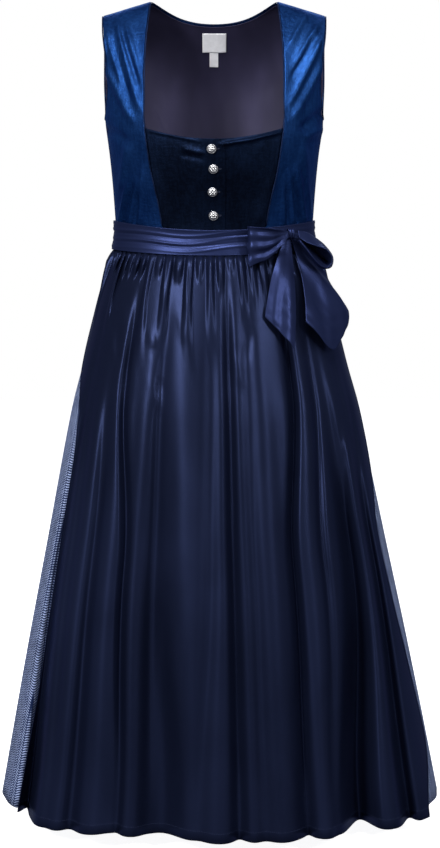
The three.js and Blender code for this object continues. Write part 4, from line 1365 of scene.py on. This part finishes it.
def hole_edge(look, x, z, run):
    """Closed loop of thread round a buttonhole, lying on the right front."""
    line, normals = [], []
    for k in range(HOLE_STEPS + 1):
        turn = 2 * math.pi * k / HOLE_STEPS
        px = x + HOLE_LENGTH / 2 * math.cos(turn)
        pz = z + HOLE_WIDTH / 2 * math.sin(turn) * (1 + 0.25 * math.cos(turn) ** 2)
        point, normal = look((px, run, pz), (0, 1, 0))
        line.append(point)
        normals.append(normal)
    return np.array(line), np.array(normals)


def thread_tube(line, normals, radius, sides=6):
    verts, faces = [], []
    count = len(line) - 1
    for k in range(count):
        way = line[(k + 1) % count] - line[k - 1]
        way /= np.linalg.norm(way)
        side = np.cross(normals[k], way)
        for s in range(sides):
            turn = 2 * math.pi * s / sides
            wrap = radius * (1 + 0.25 * (k % 2))
            spot = line[k] + normals[k] * radius * 0.6
            verts.append(spot + wrap * (math.cos(turn) * side + math.sin(turn) * normals[k]))
    for k in range(count):
        for s in range(sides):
            a, b = k * sides + s, k * sides + (s + 1) % sides
            c, d = ((k + 1) % count) * sides + s, ((k + 1) % count) * sides + (s + 1) % sides
            faces.append((a, b, d, c))
    return verts, faces


class DirndlButtons(bpy.types.Operator):
    """Four domed silver buttons and their buttonholes"""

    bl_idname = "dirndl.buttons"
    bl_label = "Buttons"

    def execute(self, context):
        colours = context.scene.dirndl_colours
        silver = old_silver("old_silver", colours.silver)
        thread = sewing_thread("thread_black", (0.006, 0.010, 0.028))
        front = bpy.data.objects["bodice_front_right_cloth"]
        look = surface_under(front)
        rows = []
        for node in BUTTON_NODES:
            middle, way = button_pose(node)
            piece = new_piece(node + "_dome", *button_mesh(middle, way), silver)
            hang(piece, [node])
            line, normals = hole_edge(look, middle.x + HOLE_ASIDE, middle.z, -0.4)
            rows.append(thread_tube(line, normals, HOLE_THREAD))
        holes = new_piece("buttonholes", *join_rows(rows), thread)
        hang(holes, [])
        return {"FINISHED"}


# ================================================================ band and bow


class DirndlBand(bpy.types.Operator):
    """Satin band round the waist, with soft pleats along it"""

    bl_idname = "dirndl.band"
    bl_label = "Band"

    def execute(self, context):
        cloth, colours = context.scene.dirndl_cloth, context.scene.dirndl_colours
        material = satin("band_satin", colours.band)
        points, normals, faces = outer_sheet("apron_band", cloth.band, 4)
        turn = np.arctan2(points[:, 0], -points[:, 1])
        low = band_bottom(turn)
        high = -BAND_TOP + BAND_TOP_RISE * np.sin(turn) ** 2
        up = np.clip((points[:, 2] - low) / (high - low), 0, 1)
        inside = np.sin(math.pi * up) ** 0.6
        drift = 0.10 * np.sin(2.3 * turn + 0.6) + 0.05 * np.sin(5.1 * turn)
        pleats = np.zeros(len(points))
        for row in BAND_PLEATS.each():
            gap = up - row["centre"] - row["waver"] * drift
            uneven = 0.7 + 0.3 * np.sin(4 * turn + 9 * row["centre"])
            pleats += row["height"] * np.exp(-((gap / row["width"]) ** 2)) * uneven
        pulls = 0.0006 * np.sin(17 * turn + 6 * up) * smooth(np.abs(turn - 0.8), 0.75, 0.2)
        height = (pleats + pulls) * inside
        piece = new_piece("apron_band_cloth", points + normals * height[:, None], faces, material)
        give_thickness(piece, cloth.band, -1)
        hang(piece, ["apron_band"])
        return {"FINISHED"}


class DirndlBow(bpy.types.Operator):
    """Bow at the wearer's left: knot, two loops and two tails"""

    bl_idname = "dirndl.bow"
    bl_label = "Bow"

    def execute(self, context):
        cloth, colours = context.scene.dirndl_cloth, context.scene.dirndl_colours
        material = bpy.data.objects["apron_band_cloth"].data.materials[0]
        low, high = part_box("bow_knot")
        knot = np.array([(low[k] + high[k]) / 2 for k in range(3)])
        self.loops(cloth, material)
        self.tails(cloth, material, knot)
        points, normals, faces = outer_sheet("bow_knot", cloth.satin, 3)
        pinch = 0.0006 * np.sin((points[:, 0] - knot[0]) * 1300 + 0.8 * np.sin(points[:, 2] * 400))
        piece = new_piece("bow_knot_cloth", points + normals * pinch[:, None], faces, material)
        give_thickness(piece, cloth.satin, -1)
        hang(piece, ["bow_knot"])
        return {"FINISHED"}

    def loops(self, cloth, material):
        for node, grid, flat in (
            ("bow_loop_right", self.flat_loop(121, 33), (0.175, 0.050)),
            ("bow_loop_left", self.open_loop(101, 35), (0.200, 0.046)),
        ):
            tall, wide = grid.shape[:2]
            piece = new_piece(node + "_cloth", grid.reshape(-1, 3), grid_faces(wide, tall), material)
            give_thickness(piece, cloth.satin, 0)
            hang(piece, [node])

    def flat_loop(self, wide, tall):
        """Loop pressed flat, with folds that fan out from the knot."""
        along = np.linspace(0, 1, wide)[None, :] * (len(LOOP_RIGHT.rows) - 1)
        across = np.linspace(0, 1, tall)[:, None]
        near, far = (
            np.stack([LOOP_RIGHT.read(side + axis, along) for axis in "xyz"], axis=-1)
            for side in ("near_", "far_")
        )
        points = lerp(near, far, across[..., None])
        normals = np.cross(np.gradient(points, axis=0), np.gradient(points, axis=1))
        normals /= np.maximum(np.linalg.norm(normals, axis=2), 1e-9)[..., None]
        reach = 1 - np.abs(along / (len(LOOP_RIGHT.rows) - 1) * 2 - 1)
        belly = LOOP_RIGHT.read("belly", along) * np.sin(math.pi * across)
        rays = np.sin(2.6 * math.pi * across + 0.7) + 0.7 * np.sin(6.3 * math.pi * across + 0.3 * along)
        folds = 0.0022 * rays * smooth(reach, 0.04, 0.4) * (1 - 0.5 * smooth(reach, 0.6, 1))
        return points + normals * (belly + folds)[..., None]

    def open_loop(self, wide, tall):
        """Loop that stands open: over its rim and in, to where the satin lies on itself."""
        along = np.linspace(0, 1, wide)[None, :] * (len(LOOP_LEFT.rows) - 1)
        across = np.linspace(0, 1, tall)[:, None, None]
        edge, rim = (
            np.stack([LOOP_LEFT.read(side + axis, along) for axis in "xyz"], axis=-1)
            for side in ("edge_", "rim_")
        )
        start, end = np.array(LOOP_BACK)
        back = lerp(start, end, LOOP_LEFT.read("out", along)[..., None])
        over = np.clip(across / 0.45, 0, 1)
        inward = np.clip((across - 0.45) / 0.55, 0, 1)
        points = lerp(edge, rim, np.sin(over * math.pi / 2))
        points = lerp(points, back, inward ** 1.3)
        wave = np.sin(3 * math.pi * across + 1.3 * along[..., None])
        points[..., 1] -= (0.0045 * np.sin(over * math.pi) + 0.0016 * wave)[..., 0] * smooth(along, 0, 2)
        return points

    def tails(self, cloth, material, knot):
        for node, count, depth, phase, flat, area in (
            ("bow_tail_inner", 2.1, 0.0038, 2.4, (0.062, 0.190), 0.0082),
            ("bow_tail_outer", 2.5, 0.0040, 0.6, (0.100, 0.195), 0.0146),
        ):
            points, normals, faces = outer_sheet(node, cloth.satin, 3)
            turn = np.arctan2(points[:, 0], -points[:, 1])
            far = knot[2] - points[:, 2]
            fan = (turn - math.radians(45)) / (far + 0.05)
            relief = depth * (np.sin(count * fan + phase) - 0.1) * smooth(far, 0.02, 0.08)
            crinkle = ripples(points, 40, 9, 0.012, 0.030, 0.8) * smooth(far, 0.08, 0.16)
            moved = points + normals * (relief + 0.0016 * crinkle)[:, None]
            piece = new_piece(node + "_cloth", moved, faces, material)
            give_thickness(piece, cloth.satin, -1)
            hang(piece, [node])


# ================================================================ stage


class DirndlStageMaker(bpy.types.Operator):
    """Pale floor, soft studio lights and the camera"""

    bl_idname = "dirndl.stage"
    bl_label = "Stage"

    def execute(self, context):
        stage, scene = context.scene.dirndl_stage, context.scene
        self.floor(stage)
        lights = (
            ("light_left", (-2.3, -3.2, 1.2), (0.8, 1.5), 125),
            ("light_right", (2.6, -2.9, 1.1), (0.6, 1.5), 56),
            ("light_top", (0.0, -2.0, 2.6), (1.8, 0.8), 105),
            ("light_back", (0.0, 3.6, 1.6), (2.6, 1.6), 45),
        )
        for name, spot, size, power in lights:
            self.lamp(scene, name, spot, size, power * stage.light)
        self.surroundings(scene, stage)
        camera = bpy.data.cameras.new("camera")
        camera.lens = stage.lens
        camera.sensor_width = 36
        camera.sensor_fit = "AUTO"
        camera.clip_end = 50
        holder = bpy.data.objects.new("camera", camera)
        holder.location = (stage.aside, -stage.distance, stage.height)
        holder.rotation_euler = (math.pi / 2 - stage.tilt, 0, 0)
        scene.collection.objects.link(holder)
        scene.camera = holder
        scene.view_settings.view_transform = "Standard"
        return {"FINISHED"}

    def surroundings(self, scene, stage):
        """Pale studio all round, which lights the dress only faintly."""
        world = bpy.data.worlds.new("studio")
        world.use_nodes = True
        nodes = Nodes(world.node_tree)
        seen = nodes.node("ShaderNodeBackground", None, {0: (1, 1, 1, 1)})
        faint = nodes.node("ShaderNodeBackground", None, {0: (0.88, 0.90, 1.0, 1), 1: stage.fill})
        to_camera = nodes.node("ShaderNodeLightPath", output="Is Camera Ray")
        either = nodes.node("ShaderNodeMixShader", None, {0: to_camera, 1: faint, 2: seen})
        nodes.feed(world.node_tree.nodes["World Output"].inputs[0], either)
        scene.world = world

    def floor(self, stage):
        """Round sheet of paper that throws no light back on to the cloth."""
        turns = np.linspace(0, 2 * math.pi, 73)[:-1]
        points = [(0, 0, stage.floor)]
        points += [(9 * math.cos(t), 9 * math.sin(t), stage.floor) for t in turns]
        faces = [(0, 1 + k, 1 + (k + 1) % 72) for k in range(72)]
        paper = new_piece("floor", points, faces, pale_floor("paper", tuple(stage.paper)))
        paper.visible_diffuse = paper.visible_glossy = False

    def lamp(self, scene, name, spot, size, power):
        light = bpy.data.lights.new(name, "AREA")
        light.shape = "RECTANGLE"
        light.size, light.size_y = size
        light.energy = power
        lamp = bpy.data.objects.new(name, light)
        lamp.location = spot
        aim = Vector((0, 0, -0.7)) - Vector(spot)
        lamp.rotation_euler = aim.to_track_quat("-Z", "Y").to_euler()
        scene.collection.objects.link(lamp)


# ================================================================ add-on


MAKERS = (
    DirndlBodice, DirndlLining, DirndlLabels, DirndlPiping, DirndlButtons,
    DirndlBand, DirndlSkirt, DirndlApron, DirndlBow, DirndlStageMaker,
)


class DirndlPanel(bpy.types.Panel):
    """Makers of the dirndl's pieces, and their settings"""

    bl_idname = "VIEW3D_PT_dirndl"
    bl_label = "Dirndl"
    bl_space_type = "VIEW_3D"
    bl_region_type = "UI"
    bl_category = "Dirndl"

    def draw(self, context):
        for maker in MAKERS:
            self.layout.operator(maker.bl_idname)
        for settings in (
            context.scene.dirndl_cloth, context.scene.dirndl_colours, context.scene.dirndl_stage,
        ):
            box = self.layout.box()
            for name in settings.__annotations__:
                box.prop(settings, name)


CLASSES = (DirndlCloth, DirndlColours, DirndlStage, *MAKERS, DirndlPanel)


def register():
    for item in CLASSES:
        bpy.utils.register_class(item)
    bpy.types.Scene.dirndl_cloth = PointerProperty(type=DirndlCloth)
    bpy.types.Scene.dirndl_colours = PointerProperty(type=DirndlColours)
    bpy.types.Scene.dirndl_stage = PointerProperty(type=DirndlStage)


def unregister():
    for name in ("dirndl_cloth", "dirndl_colours", "dirndl_stage"):
        delattr(bpy.types.Scene, name)
    for item in reversed(CLASSES):
        bpy.utils.unregister_class(item)


def main():
    register()
    for maker in MAKERS:
        group, name = maker.bl_idname.split(".")
        getattr(getattr(bpy.ops, group), name)()


if __name__ == "__main__":
    main()
